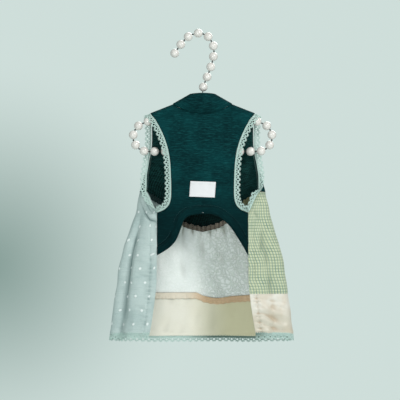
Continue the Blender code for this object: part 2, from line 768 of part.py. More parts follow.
def armhole_stations(side, ways):
    """The armhole's edge: down the belly's edge, along the bottom, up the back's, over the shoulder."""
    stations = []
    out = SEAM_GAP + LACE_WALL / 2

    edge = [belly_panel_place(1, row) for row in BELLY_ROWS[: BELLY_ARMHOLE_ROWS]]
    for i in range(BELLY_ARMHOLE_ROWS - 1):
        before, after = (edge[i] - edge[max(i - 1, 0)]).normalized(), (edge[i + 1] - edge[i]).normalized()
        along = (before + after).normalized()
        away = Vector((-along.z, 0.18, along.x)).normalized()
        way = away.lerp(lace_way(ways, 0), ease((i - 4) / 2.5))
        stations.append((edge[i] + away * out / max(along.dot(after), 0.5), way.normalized()))

    steps = 12
    corner, seam = armhole_corner_angle(), flap_angle(ARMHOLE_DEPTH)
    lapped = SKIRT_WALL / 2 + LACE_WALL / 2 + LAID_GAP
    for i in range(1, steps + 1):
        share = i / steps
        angle = blend(seam, corner, share)
        base = garment_point(1, angle, skirt_top_drop(angle), lapped) + Vector((0, -2 * SEAM_GAP, 0))
        stations.append((base, lace_way(ways, share)))

    beside = JERSEY_WALL / 2 + SEAM_GAP
    before = JERSEY_WALL / 2 + LACE_WALL / 2 + 2 * LAID_GAP
    for row in reversed(BACK_ROWS[:-1]):
        drop = drop_between(SHOULDER_DROP, ARMHOLE_SIDE_DROP - SEAM_GAP / 2, row)
        in_front = ease((drop - ARMHOLE_TURN_DROP) / (ARMHOLE_SIDE_DROP - ARMHOLE_TURN_DROP) * 3)
        base = garment_point(1, armhole_back_angle(drop), drop)
        base += Vector((beside, -before * in_front, 0))
        stations.append((base, lace_way(ways, 2 - row)))

    center = Vector((SHOULDER_WIDTH / 2 + out, 0, -shoulder_drop(SHOULDER_WIDTH / 2)))
    center.z -= HANGER_ROOM / math.cos(SHOULDER_SLOPE)
    slope = Vector((math.cos(SHOULDER_SLOPE), 0, -math.sin(SHOULDER_SLOPE)))
    steps = 8
    for i in range(steps):
        turn = math.radians(blend(82, -82, i / (steps - 1)))
        round_bead = Vector((0, math.sin(turn), math.cos(turn))) * HANGER_ROOM
        stations.append((center + round_bead, slope))

    if side < 0:
        stations = [(mirrored(base), mirrored(way)) for base, way in reversed(stations)]
    return stations


def mirrored(vector):
    return Vector((-vector.x, vector.y, vector.z))


def make_armhole_laces(look):
    for name, side, ways in (
        ("armhole_lace_right", 1, STANDING_LACE),
        ("armhole_lace_left", -1, FOLDED_LACE),
    ):
        line = LaceLine(armhole_stations(side, ways), closed=True)
        make_lace(name, line, ARMHOLE_SCALLOPS, True, look)


def make_hem_lace(look):
    """The lace under the whole hem, from the free edge of one flap round the back to the other."""
    stations = []
    steps = 60
    hem = DRESS_LENGTH - LACE_WIDTH
    start = flap_angle(hem - HEM_RISE)
    for i in range(steps + 1):
        turned = blend(start, 360 - start, i / steps)
        side = 1 if turned <= 180 else -1
        angle = turned if turned <= 180 else 360 - turned
        drop = hem_drop(angle) + SEAM_GAP
        base = garment_point(side, angle, drop)
        flare = Vector((side * math.sin(math.radians(angle)), -math.cos(math.radians(angle)), 0)) * 0.12
        stations.append((base, (Vector((0, 0, -1)) + flare).normalized()))
    make_lace("hem_lace", LaceLine(stations, closed=False), HEM_SCALLOPS, False, look)


def hanger_loop_path():
    """The loop's straight and round stretches, on one half: a list of (length, function of distance)."""
    sine, cosine = math.sin(SHOULDER_SLOPE), math.cos(SHOULDER_SLOPE)
    end = (HANGER_WIDTH - BEAD_DIAMETER) / 2
    fall = HANGER_BAR_DROP - HANGER_TOP_DROP
    radius = (cosine * fall - sine * end) / (1 + cosine - sine)
    center = Vector((end - radius, 0, -(HANGER_BAR_DROP - radius)))
    slope = Vector((cosine, 0, -sine))
    top = Vector((0, 0, -HANGER_TOP_DROP))
    turn = math.pi - SHOULDER_SLOPE
    start_turn = math.pi / 2 - SHOULDER_SLOPE
    slope_length = (center + radius * Vector((sine, 0, cosine)) - top).length

    def on_slope(distance):
        return top + slope * distance, slope

    def on_bend(distance):
        at = start_turn - distance / radius
        out = Vector((math.cos(at), 0, math.sin(at)))
        return center + out * radius, Vector((out.z, 0, -out.x))

    def on_bar(distance):
        return Vector((center.x - distance, 0, -HANGER_BAR_DROP)), Vector((-1, 0, 0))

    return [(slope_length, on_slope), (turn * radius, on_bend), (center.x, on_bar)]


def on_loop(distance, stretches):
    """Point and heading of the loop at a distance from its top, first down the +X side."""
    half = sum(length for length, _ in stretches)
    if distance > half:
        point, heading = on_loop(2 * half - distance, stretches)
        return mirrored(point), Vector((heading.x, heading.y, -heading.z))
    for length, stretch in stretches[:-1]:
        if distance <= length:
            return stretch(distance)
        distance -= length
    return stretches[-1][1](distance)


def beads_on(name, places, gaps, closed, look):
    """A string of beads as one body: a curve whose bevel swells to a bead at each place.

    places are (centre, heading) of the beads, and gaps the points of bare wire after each one.
    """
    radius, wire = BEAD_DIAMETER / 2, WIRE_DIAMETER / 2
    knots = []
    for (center, heading), gap in zip(places, gaps):
        for ring in BEAD_RING_ANGLES:
            turn = math.radians(ring)
            knots.append((center + heading * radius * math.sin(turn), math.cos(turn)))
        knots.extend((point, wire / radius) for point in gap)
    curve = bpy.data.curves.new(name, "CURVE")
    curve.dimensions = "3D"
    curve.bevel_depth = radius
    curve.bevel_resolution = BEAD_SIDES_RESOLUTION
    curve.use_fill_caps = not closed
    spline = curve.splines.new("POLY")
    spline.points.add(len(knots) - 1)
    for point, (at, share) in zip(spline.points, knots):
        point.co = (*at, 1)
        point.radius = share
    spline.use_cyclic_u = closed
    return finish_object(name, curve, look)


def make_hanger_loop(look):
    stretches = hanger_loop_path()
    length = 2 * sum(stretch[0] for stretch in stretches)
    count = 2 * round(length / BEAD_PITCH / 2)
    pitch = length / count
    places = [on_loop((i + 0.5) * pitch, stretches) for i in range(count)]
    gaps = [[on_loop((i + 1) % count * pitch, stretches)[0]] for i in range(count)]
    return beads_on("hanger_loop", places, gaps, True, look)


def hook_route():
    """The hook's smooth route from the loop's top to the tip, as close points."""
    foot = Vector((0, 0, -HANGER_TOP_DROP + WIRE_DIAMETER / 2 + LAID_GAP + WIRE_DIAMETER / 2))
    knots = [foot] + [Vector((across * HOOK_WIDTH, 0, up * HOOK_HEIGHT)) for across, up in HOOK_ROUTE]
    padded = [2 * knots[0] - knots[1], *knots, 2 * knots[-1] - knots[-2]]
    points = []
    for a, b, c, d in zip(padded, padded[1:], padded[2:], padded[3:]):
        for i in range(12):
            t = i / 12
            points.append(
                0.5 * (2 * b + (c - a) * t + (2 * a - 5 * b + 4 * c - d) * t**2 + (3 * b - a - 3 * c + d) * t**3)
            )
    return points + [knots[-1]]


def on_route(points, distance):
    """Point and heading at a distance back from the route's end."""
    for after, before in zip(reversed(points), reversed(points[:-1])):
        span = (after - before).length
        if distance <= span:
            return after.lerp(before, distance / span), (after - before).normalized()
        distance -= span
    return points[0], (points[1] - points[0]).normalized()


def make_hanger_hook(look):
    """The hook's string, from its foot on the loop's top to the bead at its tip."""
    route = hook_route()
    places = [on_route(route, i * BEAD_PITCH) for i in reversed(range(HOOK_BEADS))]
    gaps = [[on_route(route, (i - 0.5) * BEAD_PITCH)[0]] for i in reversed(range(1, HOOK_BEADS))] + [[]]
    made = beads_on("hanger_hook", places, gaps, False, look)
    lengthen_foot(made, route[0])
    return made


def lengthen_foot(hook, foot):
    """Adds the bare wire between the first bead and the hook's foot."""
    spline = hook.data.splines[0]
    knots = [(point.co.copy(), point.radius) for point in spline.points]
    spline.points.add(2)
    share = WIRE_DIAMETER / BEAD_DIAMETER
    first = knots[0][0].to_3d()
    above = foot.lerp(first, 0.6)
    for point, (at, radius) in zip(spline.points, [((*foot, 1), share), ((*above, 1), share), *knots]):
        point.co = at
        point.radius = radius


def clear_scene():
    for old in list(bpy.data.objects):
        bpy.data.objects.remove(old)


def add_hanging_point():
    """The empty that carries everything, placed so that the hook's seat is the world's origin."""
    empty = bpy.data.objects.new("hanging_point", None)
    bpy.context.scene.collection.objects.link(empty)
    top = max(HOOK_ROUTE, key=lambda point: point[1])
    seat = Vector((top[0] * HOOK_WIDTH, 0, top[1] * HOOK_HEIGHT - BEAD_DIAMETER / 2))
    empty.matrix_world = Matrix.Translation(-seat)


def main():
    clear_scene()
    add_hanging_point()

    pearl = material("pearl", (0.84, 0.80, 0.78), 0.25)
    jersey = material("jersey", (0.004, 0.042, 0.047), 0.85)
    aqua = material("lace", (0.50, 0.68, 0.64), 0.8)

    make_hanger_loop(pearl)
    make_hanger_hook(pearl)
    make_collar(jersey)
    make_belly_panel(jersey)
    make_belly_band(jersey)
    make_back_panel(jersey)
    make_label(material("label", (0.82, 0.81, 0.83), 0.7))

    upper_rows, lower_rows = shares(UPPER_TIER_ROWS), shares(LOWER_TIER_ROWS)
    middle = [2 * share - 1 for share in shares(MIDDLE_COLUMNS)]
    gap = SEAM_GAP / 2
    make_skirt_side(
        "skirt_dotted", -1, material("dotted_cotton", (0.40, 0.56, 0.56), 0.85),
        [lambda angle: skirt_top_drop(angle) + gap, lambda angle: tier_seam_drop(-1, angle), hem_drop],
        upper_rows + [1 + share for share in lower_rows[1:]],
    )
    make_skirt_side(
        "skirt_check", 1, material("check_cotton", (0.42, 0.50, 0.32), 0.85),
        [lambda angle: skirt_top_drop(angle) + gap, lambda angle: tier_seam_drop(1, angle) - gap],
        upper_rows,
    )
    make_skirt_side(
        "skirt_satin", 1, material("satin", (0.78, 0.70, 0.62), 0.35),
        [lambda angle: tier_seam_drop(1, angle) + gap, hem_drop], lower_rows,
    )
    make_skirt_back(
        "skirt_eyelet", material("eyelet_cotton", (0.68, 0.73, 0.72), 0.8),
        lambda side, angle: waist_drop(angle) + gap,
        lambda side, angle: tier_seam_drop(side, angle) - gap, middle, upper_rows,
    )
    make_skirt_back(
        "skirt_cream", material("cream_cotton", (0.70, 0.66, 0.50), 0.8),
        lambda side, angle: tier_seam_drop(side, angle) + gap,
        lambda side, angle: hem_drop(angle), middle, lower_rows,
    )
    make_waist_ruffle(material("seam_edge", (0.25, 0.20, 0.16), 0.9))
    make_tier_tape(material("tan_seam", (0.45, 0.28, 0.16), 0.8), middle[1:-1])
    make_armhole_laces(aqua)
    make_hem_lace(aqua)


main()
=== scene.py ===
"""Looks of the dog dress on its bead hanger: cloth, lace, beads, materials, light and camera.

Units are metres, and millimetres in the tables of creases. Shapes are laid out in the dress
frame, whose origin is the middle of the collar's top edge. A drop is a distance below that
edge. DRESS_PLACE then moves them so that the world's origin is the seat inside the hook. An
angle round the dress is 0 at the middle of the belly, 90 at the fold of a side and 180 at the
middle of the back. A side is 1 towards +X and -1 towards -X.
"""

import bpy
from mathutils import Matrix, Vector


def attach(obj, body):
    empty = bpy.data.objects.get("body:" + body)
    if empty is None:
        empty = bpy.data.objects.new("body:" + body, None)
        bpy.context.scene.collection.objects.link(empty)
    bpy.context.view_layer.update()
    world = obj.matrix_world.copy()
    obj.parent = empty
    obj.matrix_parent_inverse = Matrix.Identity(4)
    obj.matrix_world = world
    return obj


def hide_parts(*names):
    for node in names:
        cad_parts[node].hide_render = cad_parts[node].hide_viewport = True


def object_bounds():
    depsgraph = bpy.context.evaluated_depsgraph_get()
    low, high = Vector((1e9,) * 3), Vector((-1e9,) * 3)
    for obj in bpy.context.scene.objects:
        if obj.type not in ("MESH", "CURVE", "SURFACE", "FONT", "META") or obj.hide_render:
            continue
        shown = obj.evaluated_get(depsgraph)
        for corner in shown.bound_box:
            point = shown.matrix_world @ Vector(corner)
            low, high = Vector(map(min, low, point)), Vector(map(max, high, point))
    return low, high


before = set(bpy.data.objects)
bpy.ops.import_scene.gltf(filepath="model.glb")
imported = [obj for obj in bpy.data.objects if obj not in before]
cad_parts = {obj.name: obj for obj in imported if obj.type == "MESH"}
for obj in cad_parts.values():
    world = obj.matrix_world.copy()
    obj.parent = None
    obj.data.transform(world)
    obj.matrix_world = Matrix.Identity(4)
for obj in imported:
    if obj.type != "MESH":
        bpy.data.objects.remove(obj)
cad_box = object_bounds()

import inspect
import math
from functools import cached_property, partialmethod

import bmesh
import bpy
import numpy as np
from mathutils import Matrix, Vector

# Overall sizes of the dress
DRESS_LENGTH = 0.3425
HEM_WIDTH = 0.246
HEM_DEPTH = 0.080
HEM_RISE = 0.007
LOWER_TIER_HEIGHT = 0.060
FLAP_SPACING = 0.145

# Bodice
SHOULDER_WIDTH = 0.141
SHOULDER_DROP = 0.0278
NECK_WIDTH = 0.080
NECK_POINT_DROP = 0.0158
BELLY_NECK_DIP = 0.0115
BACK_NECK_DIP = 0.004
CHEST_WIDTH = 0.084
BELLY_WIDTH = 0.123
BELLY_LENGTH = 0.220
ARMHOLE_DEPTH = 0.163
ARMHOLE_BACK_WIDTH = 0.151
ARMHOLE_TURN_DROP = 0.078
ARMHOLE_SIDE_DROP = 0.134
WAIST_DROP = 0.184
ARCH_HEIGHT = 0.056
BELLY_CROWN = 0.0085
BAND_WIDTH = 0.0095
COLLAR_TOP_WIDTH = 0.034
COLLAR_DEPTH = 0.0185
COLLAR_TOP_DIP = 0.0018

# Trims and small pieces
LACE_WIDTH = 0.010
LACE_REPEAT = 0.0083
ARMHOLE_LACE_PITCH = 0.0072
LABEL_WIDTH = 0.0345
LABEL_HEIGHT = 0.021
LABEL_DROP = 0.131
RUFFLE_HEIGHT = 0.0068
RUFFLE_DEPTH = 0.0008
TAPE_HEIGHT = 0.0085
TIER_WAVE_DEPTH = 0.0077
FOLD_DEPTH = 0.006
GATHER_DEPTH = 0.0022
GATHER_LENGTH = 0.050
GATHER_START = 0.010
GATHER_COUNT = 13

# How far the facing's stitches lie from the flap's free edge, and what share of an arc with the
# section's half width is a distance along the flap's cloth
STITCH_INSET = 0.0088
FLAP_LEAN = 0.8

# Hanger
HANGER_WIDTH = 0.201
HANGER_BAR_DROP = 0.0795
HOOK_WIDTH = 0.0531
HOOK_HEIGHT = 0.0813
HOOK_BEADS = 10
BEAD_DIAMETER = 0.012
BEAD_PITCH = 0.0146
WIRE_DIAMETER = 0.0012
KNOT_RADIUS = 0.0012
FOOT_GAP = 0.0023

# Room round the beads inside the shoulders, and the slit left between the layers of the neck
HANGER_CLEARANCE = 0.0004
HANGER_SLACK = 0.0015
NECK_SLIT = 0.0020

# Cloth: the solids' wall, which sets where the layers lie, the real walls, and the gap of a seam
SOLID_WALL = 0.0016
JERSEY_WALL = 0.0012
SKIRT_WALL = 0.0008
SEAM_EDGE_WALL = 0.0010
LABEL_WALL = 0.0007
RUFFLE_WALL = 0.0009
TAPE_WALL = 0.0008
SEAM_GAP = 0.0001

# How wide a stretch of cloth a fold is measured against, and the depth of a full fold, for the shade painted
# into folds
FOLD_REACH = 0.006
FOLD_FULL_DEPTH = 0.0016

# The part of the tone's noise that turns one colour of a cloth into its other
TONE_RANGE = (0.35, 0.7)

# Picture and room
PICTURE_CENTER = (0.0022, 0.0, -0.2208)
PICTURE_WIDTH = 0.544
CAMERA_DISTANCE = 3.4
FLOOR_HEIGHT = -1.3


def table(columns, *rows):
    """Rows of numbers as a dictionary of columns. The first column is what a table is read at."""
    return dict(zip(columns.split(), np.array(rows, float).T))


SECTIONS = table(
    "drop half_width belly_bulge back_bulge belly_side back_side fullness",
    (0.000, 0.575, 0.000, 0.000, -1.00, 1.00, 1.0),
    (0.079, 0.575, 0.000, 0.000, -1.00, 1.00, 1.0),
    (0.127, 0.562, 0.040, 0.030, -1.00, 1.15, 1.0),
    (0.186, 0.560, 0.090, 0.060, -1.00, 1.25, 1.0),
    (0.234, 0.569, 0.130, 0.095, -1.00, 1.25, 1.4),
    (0.267, 0.585, 0.150, 0.120, -0.80, 1.15, 2.0),
    (0.296, 0.605, 0.168, 0.138, -0.60, 1.05, 2.0),
    (0.329, 0.641, 0.200, 0.175, -0.15, 0.80, 2.0),
    (0.365, 0.674, 0.240, 0.215, 0.40, 0.40, 2.0),
    (0.424, 0.707, 0.265, 0.260, 0.15, 0.15, 2.0),
    (0.476, 0.740, 0.290, 0.300, 0.00, 0.00, 2.0),
    (0.567, 0.818, 0.330, 0.365, 0.00, 0.00, 2.0),
    (0.642, 0.878, 0.365, 0.425, 0.00, 0.00, 2.0),
    (0.782, 0.939, 0.400, 0.495, 0.00, 0.00, 2.0),
    (0.952, 1.000, 0.435, 0.560, 0.00, 0.00, 2.0),
    (1.000, 1.005, 0.440, 0.570, 0.00, 0.00, 2.0),
)
BELLY_EDGES = table(
    "drop toward_shoulder toward_belly",
    (0.00, 1.000, 0.00), (0.08, 0.714, 0.00), (0.20, 0.414, 0.00), (0.33, 0.190, 0.00),
    (0.47, 0.062, 0.00), (0.62, 0.015, 0.00), (0.77, 0.000, 0.00), (0.87, 0.000, 0.04),
    (0.94, 0.000, 0.25), (0.98, 0.000, 0.62), (1.00, 0.000, 1.00),
)
LEFT_ARCH = table(
    "across fall", (0.00, 0.00), (0.20, 0.02), (0.32, 0.06), (0.42, 0.17), (0.48, 0.35),
    (0.57, 0.60), (0.67, 0.75), (0.79, 0.86), (1.00, 1.00),
)
RIGHT_ARCH = table(
    "across fall", (0.00, 0.00), (0.20, 0.01), (0.35, 0.06), (0.47, 0.16), (0.57, 0.26),
    (0.66, 0.38), (0.76, 0.55), (0.90, 0.80), (1.00, 1.00),
)
WAISTLINE = table(
    "angle fall", (60, 0.00), (90, 0.02), (110, 0.06), (130, 0.17), (144, 0.38), (155, 0.66),
    (165, 0.87), (180, 1.00),
)
CENTER_SEAMS = table(
    "drop half_width", (0.46, 0.430), (0.56, 0.520), (0.66, 0.600), (0.81, 0.640), (1.00, 0.685)
)
FLAP_EDGES = table("drop spread", (0.0, 0.00), (0.4, 0.12), (0.7, 0.50), (1.0, 1.00))
TIER_WAVES = table(
    "angle dip", (110, 0.00), (144, 0.38), (151, 0.50), (160, 0.66), (170, 1.00), (179, 0.62),
    (185, 0.00), (250, 0.00),
)

# Long folds, as in the solids: side, angle and width in degrees, depth as a share of FOLD_DEPTH,
# and the share of the dress's length where each starts
FOLDS = (
    (-1, 66, 7, -0.75, 0.40), (-1, 52, 9, 0.50, 0.48), (-1, 84, 8, 0.45, 0.50),
    (-1, 106, 9, -0.90, 0.44), (-1, 128, 9, 0.90, 0.42), (-1, 150, 9, -0.70, 0.50),
    (1, 54, 6, -0.60, 0.42), (1, 70, 9, 0.45, 0.45), (1, 100, 9, -0.90, 0.44),
    (1, 122, 9, 0.90, 0.42), (1, 146, 10, -0.80, 0.50), (1, 168, 11, 0.80, 0.58),
    (-1, 172, 11, -0.35, 0.58),
)

# Creases that only the cloth has, in millimetres: how wide and how deep, inwards where negative,
# then the (x, drop) points of a bent line
DOTTED_CREASES = (
    (2.0, -3.0, (-85.3, 146.9), (-78.8, 162.7), (-71.7, 172.7), (-63.8, 174.5)),
    (2.0, -1.8, (-81.0, 144.7), (-74.6, 156.0), (-69.4, 162.7), (-64.0, 164.0)),
    (2.6, 2.2, (-83.0, 148.0), (-76.0, 161.0), (-70.0, 168.0), (-65.0, 169.0)),
    (3.4, -1.8, (-96.0, 200.0), (-100.0, 235.0), (-103.0, 280.0), (-106.0, 315.0)),
    (2.2, -0.9, (-93.0, 215.0), (-84.0, 208.0), (-74.0, 206.5)),
    (2.2, -0.9, (-96.0, 252.0), (-85.0, 246.5), (-74.0, 249.0)),
    (2.4, -0.9, (-100.0, 296.0), (-90.0, 289.5), (-78.0, 293.0)),
    (2.0, -0.7, (-96.0, 232.0), (-86.0, 228.5), (-76.0, 230.0)),
)
CHECK_CREASES = (
    (2.8, -1.4, (70.0, 156.0), (71.8, 164.0), (76.0, 170.0)),
    (2.5, -0.9, (79.0, 202.0), (79.5, 212.0), (78.0, 226.0)),
    (4.0, -0.8, (82.0, 170.0), (80.0, 195.0), (83.0, 240.0)),
    (3.0, 0.7, (88.0, 170.0), (89.0, 200.0), (93.0, 250.0)),
)
SATIN_CREASES = (
    (3.0, -2.0, (74.0, 296.0), (85.0, 300.0), (98.0, 306.5), (110.0, 311.0)),
    (2.8, 1.5, (76.0, 289.0), (88.0, 292.5), (100.0, 298.5), (112.0, 302.0)),
    (2.6, -1.8, (74.5, 311.0), (86.0, 315.0), (98.0, 319.5), (111.0, 323.0)),
    (2.6, 1.2, (76.0, 304.5), (88.0, 308.5), (100.0, 313.5), (112.0, 317.0)),
    (2.2, -1.0, (79.0, 279.0), (90.0, 281.5), (101.0, 282.5), (113.0, 286.0)),
    (1.6, -1.2, (73.5, 285.0), (78.0, 290.0), (85.0, 292.0)),
    (1.6, -1.0, (75.0, 323.0), (83.0, 325.5), (95.0, 327.0)),
    (1.4, -0.7, (96.0, 288.0), (104.0, 290.0), (112.0, 294.0)),
)

# Tucks that hang from the waist, given as the creases are, and deepest at their first point
EYELET_TUCKS = (
    (3.4, 4.2, (-14.0, 179.0), (-13.5, 195.0), (-15.5, 219.0)),
    (3.2, 4.2, (10.5, 179.0), (11.0, 200.0), (13.0, 230.0)),
    (3.4, 4.0, (25.0, 174.0), (30.0, 190.0), (37.0, 210.0), (42.0, 235.0)),
    (1.8, 2.6, (-1.5, 181.0), (-2.0, 190.0), (-2.0, 204.0)),
    (1.8, 2.6, (18.0, 177.0), (19.5, 189.0), (22.5, 208.0)),
    (2.0, 2.8, (-24.5, 175.0), (-26.5, 186.0), (-30.0, 205.0)),
    (3.0, -2.2, (-7.5, 181.0), (-8.0, 195.0), (-9.0, 225.0)),
    (2.8, -2.2, (4.5, 181.0), (4.5, 198.0), (4.0, 230.0)),
    (2.6, -2.0, (-19.5, 177.0), (-20.5, 193.0), (-24.0, 215.0)),
    (2.8, -2.0, (32.0, 170.0), (37.0, 185.0), (43.0, 205.0)),
)

# Which way the lace points: from 0 along the bottom of the armhole to 1, then to 2 up its back edge
STANDING_LACE = table(
    "along outward forward up",
    (0.00, 0.25, 0.25, 0.90), (0.20, -0.15, 0.30, 0.95), (0.70, -0.40, 0.30, 0.85),
    (0.88, -0.10, 0.90, 0.45), (1.00, 0.35, 0.90, 0.10), (1.12, 0.80, 0.55, 0.00),
    (1.30, 0.98, 0.10, 0.05), (1.45, 1.00, 0.00, 0.08), (2.00, 1.00, 0.00, 0.10),
)
FOLDED_LACE = table(
    "along outward forward up",
    (0.00, 0.20, 0.35, 0.90), (0.24, 0.45, 0.90, 0.15), (0.50, 0.72, 0.45, -0.50),
    (0.75, 0.84, 0.25, -0.45), (1.00, 0.95, 0.20, -0.25), (1.20, 0.98, 0.15, 0.00),
    (1.45, 1.00, 0.00, 0.05), (2.00, 1.00, 0.00, 0.10),
)

# The hook's route above its foot, as shares of its width and height
HOOK_ROUTE = (
    (0.015, 0.094), (0.105, 0.251), (0.201, 0.419), (0.266, 0.572), (0.286, 0.759),
    (0.147, 0.940), (-0.107, 1.000), (-0.371, 0.940), (-0.567, 0.804), (-0.714, 0.664),
)
DRESS_PLACE = np.array([0.107 * HOOK_WIDTH, 0.0, BEAD_DIAMETER / 2 - HOOK_HEIGHT])


# Curves and surfaces of the garment, all on arrays


def blend(a, b, share):
    return a + (b - a) * share


def ease(share):
    share = np.clip(share, 0.0, 1.0)
    return share * share * (3 - 2 * share)


def swell(far, reach):
    """1 where far is 0, falling to about a third at the reach and to almost nothing at twice it."""
    return np.exp(-((far / reach) ** 2))


def sine(degrees):
    return np.sin(np.radians(degrees))


def points(x, y, z):
    return np.stack(np.broadcast_arrays(np.asarray(x, float), y, z), axis=-1)


def unit(vectors):
    return vectors / np.maximum(np.linalg.norm(vectors, axis=-1, keepdims=True), 1e-12)


def steps(count, start=0.0, end=1.0):
    return np.linspace(start, end, count + 1)


def tightening(count, power=1.2):
    """Shares from 0 to 1, closer together at both ends."""
    t = steps(count)
    return np.where(t < 0.5, (2 * t) ** power / 2, 1 - (2 - 2 * t) ** power / 2)


def distances(path):
    """How far along a path each of its points is."""
    return np.concatenate([[0], np.linalg.norm(np.diff(path, axis=0), axis=1).cumsum()])


def on_path(path, gone, at):
    """A path's points at some distances, where gone holds the distances of its own points."""
    return np.stack([np.interp(at, gone, path[:, k]) for k in range(3)], axis=1)


def smooth(curve, column, at):
    """A column of a table, read at values of its first column through a smooth curve."""
    knots, values = next(iter(curve.values())), curve[column]
    last = len(knots) - 1
    before, after = np.maximum(np.arange(last + 1) - 1, 0), np.minimum(np.arange(last + 1) + 1, last)
    slopes = (values[after] - values[before]) / (knots[after] - knots[before])
    turning = (values[after] - values) * (values - values[before]) <= 0
    turning[[0, -1]] = False
    slopes[turning] = 0
    at = np.clip(np.asarray(at, float), knots[0], knots[-1])
    i = np.clip(np.searchsorted(knots, at, side="right") - 1, 0, last - 1)
    step = knots[i + 1] - knots[i]
    t = (at - knots[i]) / step
    leaning = step * t * (1 - t) * ((1 - t) * slopes[i] - t * slopes[i + 1])
    return blend(values[i], values[i + 1], ease(t)) + leaning


HEM_SEAM_DROP = DRESS_LENGTH - LACE_WIDTH
HANGER_ROOM = BEAD_DIAMETER / 2 + HANGER_CLEARANCE + SOLID_WALL / 2
SHOULDER_SLOPE = math.atan2(SHOULDER_DROP - NECK_POINT_DROP, (SHOULDER_WIDTH - NECK_WIDTH) / 2)
BEND_DROP = HANGER_ROOM / math.cos(SHOULDER_SLOPE)
HANGER_TOP_DROP = (
    NECK_POINT_DROP
    - math.tan(SHOULDER_SLOPE) * NECK_WIDTH / 2
    + (HANGER_ROOM + HANGER_SLACK) / math.cos(SHOULDER_SLOPE)
)


def section(column, drop):
    return smooth(SECTIONS, column, drop / DRESS_LENGTH)


def half_width(drop):
    return section("half_width", drop) * HEM_WIDTH / 2


def front_x(side, angle, drop):
    return half_width(drop) * sine(angle) * side


def shoulder_drop(x):
    return NECK_POINT_DROP + math.tan(SHOULDER_SLOPE) * (np.abs(x) - NECK_WIDTH / 2)


def shoulder_rounding(x, drop):
    """1 well below the shoulder, falling to nearly 0 where the cloth goes over the beads."""
    below = (drop - shoulder_drop(x)) * math.cos(SHOULDER_SLOPE)
    level = np.maximum(1 - below / HANGER_ROOM, 0.0)
    slit = blend(NECK_SLIT, 0.0005, ease((np.abs(x) / NECK_WIDTH - 0.5) * 8))
    return np.maximum(np.sqrt(np.maximum(1 - level**2, 0.0)), slit / 2 / HANGER_ROOM)


def drop_between(top, bottom, row):
    """The drop at a row: from -1 to 0 the cloth bends over the hanger, from 0 to 1 it falls."""
    over = top + BEND_DROP * (1 - np.cos(np.pi / 2 * (np.minimum(row, 0) + 1)))
    return np.where(row < 0, over, blend(top + BEND_DROP, bottom, np.maximum(row, 0)))


def right_round(side, angle):
    """The angle counted right round the dress, from the belly over +X."""
    return np.where(side > 0, angle, 360 - angle)


def both_sides(turned):
    """Side and angle from an angle counted right round the dress."""
    return np.where(turned < 180, 1, -1), np.where(turned < 180, turned, 360 - turned)


def fold_offset(side, angle, drop):
    """How far the skirt's folds and gathers move its cloth outwards."""
    total = np.zeros(np.broadcast(side, angle, drop).shape)
    for fold_side, middle, width, depth, start in FOLDS:
        deep = FOLD_DEPTH * depth * ease((drop / DRESS_LENGTH - start) / 0.22)
        for near, here in ((angle, side), (360 - angle, -side)):
            total = total + np.where(here == fold_side, swell(near - middle, width), 0) * deep
    below = np.maximum(drop - waist_drop(angle), 0.0)
    turned = right_round(side, angle)
    even = np.cos(np.radians((180 - angle) * GATHER_COUNT * 2))
    fine = sine(turned * 47) + 0.6 * sine(turned * 83 + 40)
    fading = np.exp(-below / GATHER_LENGTH) - np.exp(-below / GATHER_START)
    quick = np.exp(-below / 0.018) - np.exp(-below / 0.003)
    gathers = GATHER_DEPTH * even * fading + 0.0006 * fine * quick
    return total + np.where(angle > 90, gathers * ease((angle - 90) / 30), 0)


def garment_point(side, angle, drop, outward=0.0):
    """Points of the garment's middle surface, moved outwards by a distance."""
    width, turn = half_width(drop), np.radians(angle)
    bulge = np.where(angle < 90, section("belly_bulge", drop), section("back_bulge", drop)) * HEM_DEPTH
    rest = section("back_side", drop) * HANGER_ROOM
    reach = np.abs(np.cos(turn)) ** (2 / section("fullness", drop))
    x = side * width * np.sin(turn)
    y = (rest + np.where(angle < 90, -bulge, bulge) * reach) * shoulder_rounding(x, drop)
    normal = unit(points(side * np.sin(turn) / width, -np.cos(turn) / (bulge + HEM_DEPTH / 4), 0))
    return points(x, y, -drop) + normal * (outward + fold_offset(side, angle, drop))[..., None]


def belly_point(x, drop, outward=0.0):
    """Points of the belly layer by their distance from the middle, in front view."""
    core = np.maximum(1 - (x / half_width(drop)) ** 2, 0.0)
    bulge = section("belly_bulge", drop) * HEM_DEPTH
    y = section("belly_side", drop) * HANGER_ROOM - bulge * core ** (1 / section("fullness", drop))
    return points(x, y * shoulder_rounding(x, drop) - outward, -drop)


def belly_edge(drop):
    """Half of the belly panel's width."""
    share = (drop - SHOULDER_DROP) / (ARMHOLE_DEPTH - SHOULDER_DROP)
    chest = CHEST_WIDTH / 2
    to_shoulder = smooth(BELLY_EDGES, "toward_shoulder", share) * (SHOULDER_WIDTH / 2 - chest)
    return chest + to_shoulder + smooth(BELLY_EDGES, "toward_belly", share) * (BELLY_WIDTH / 2 - chest)


def neck_drop(x, dip):
    """Drop of the seam between collar and body: a curve in the middle, then the shoulder seam."""
    across = np.abs(x) / (NECK_WIDTH / 2)
    return np.where(across < 1, NECK_POINT_DROP + dip * (1 - across**2), shoulder_drop(x))


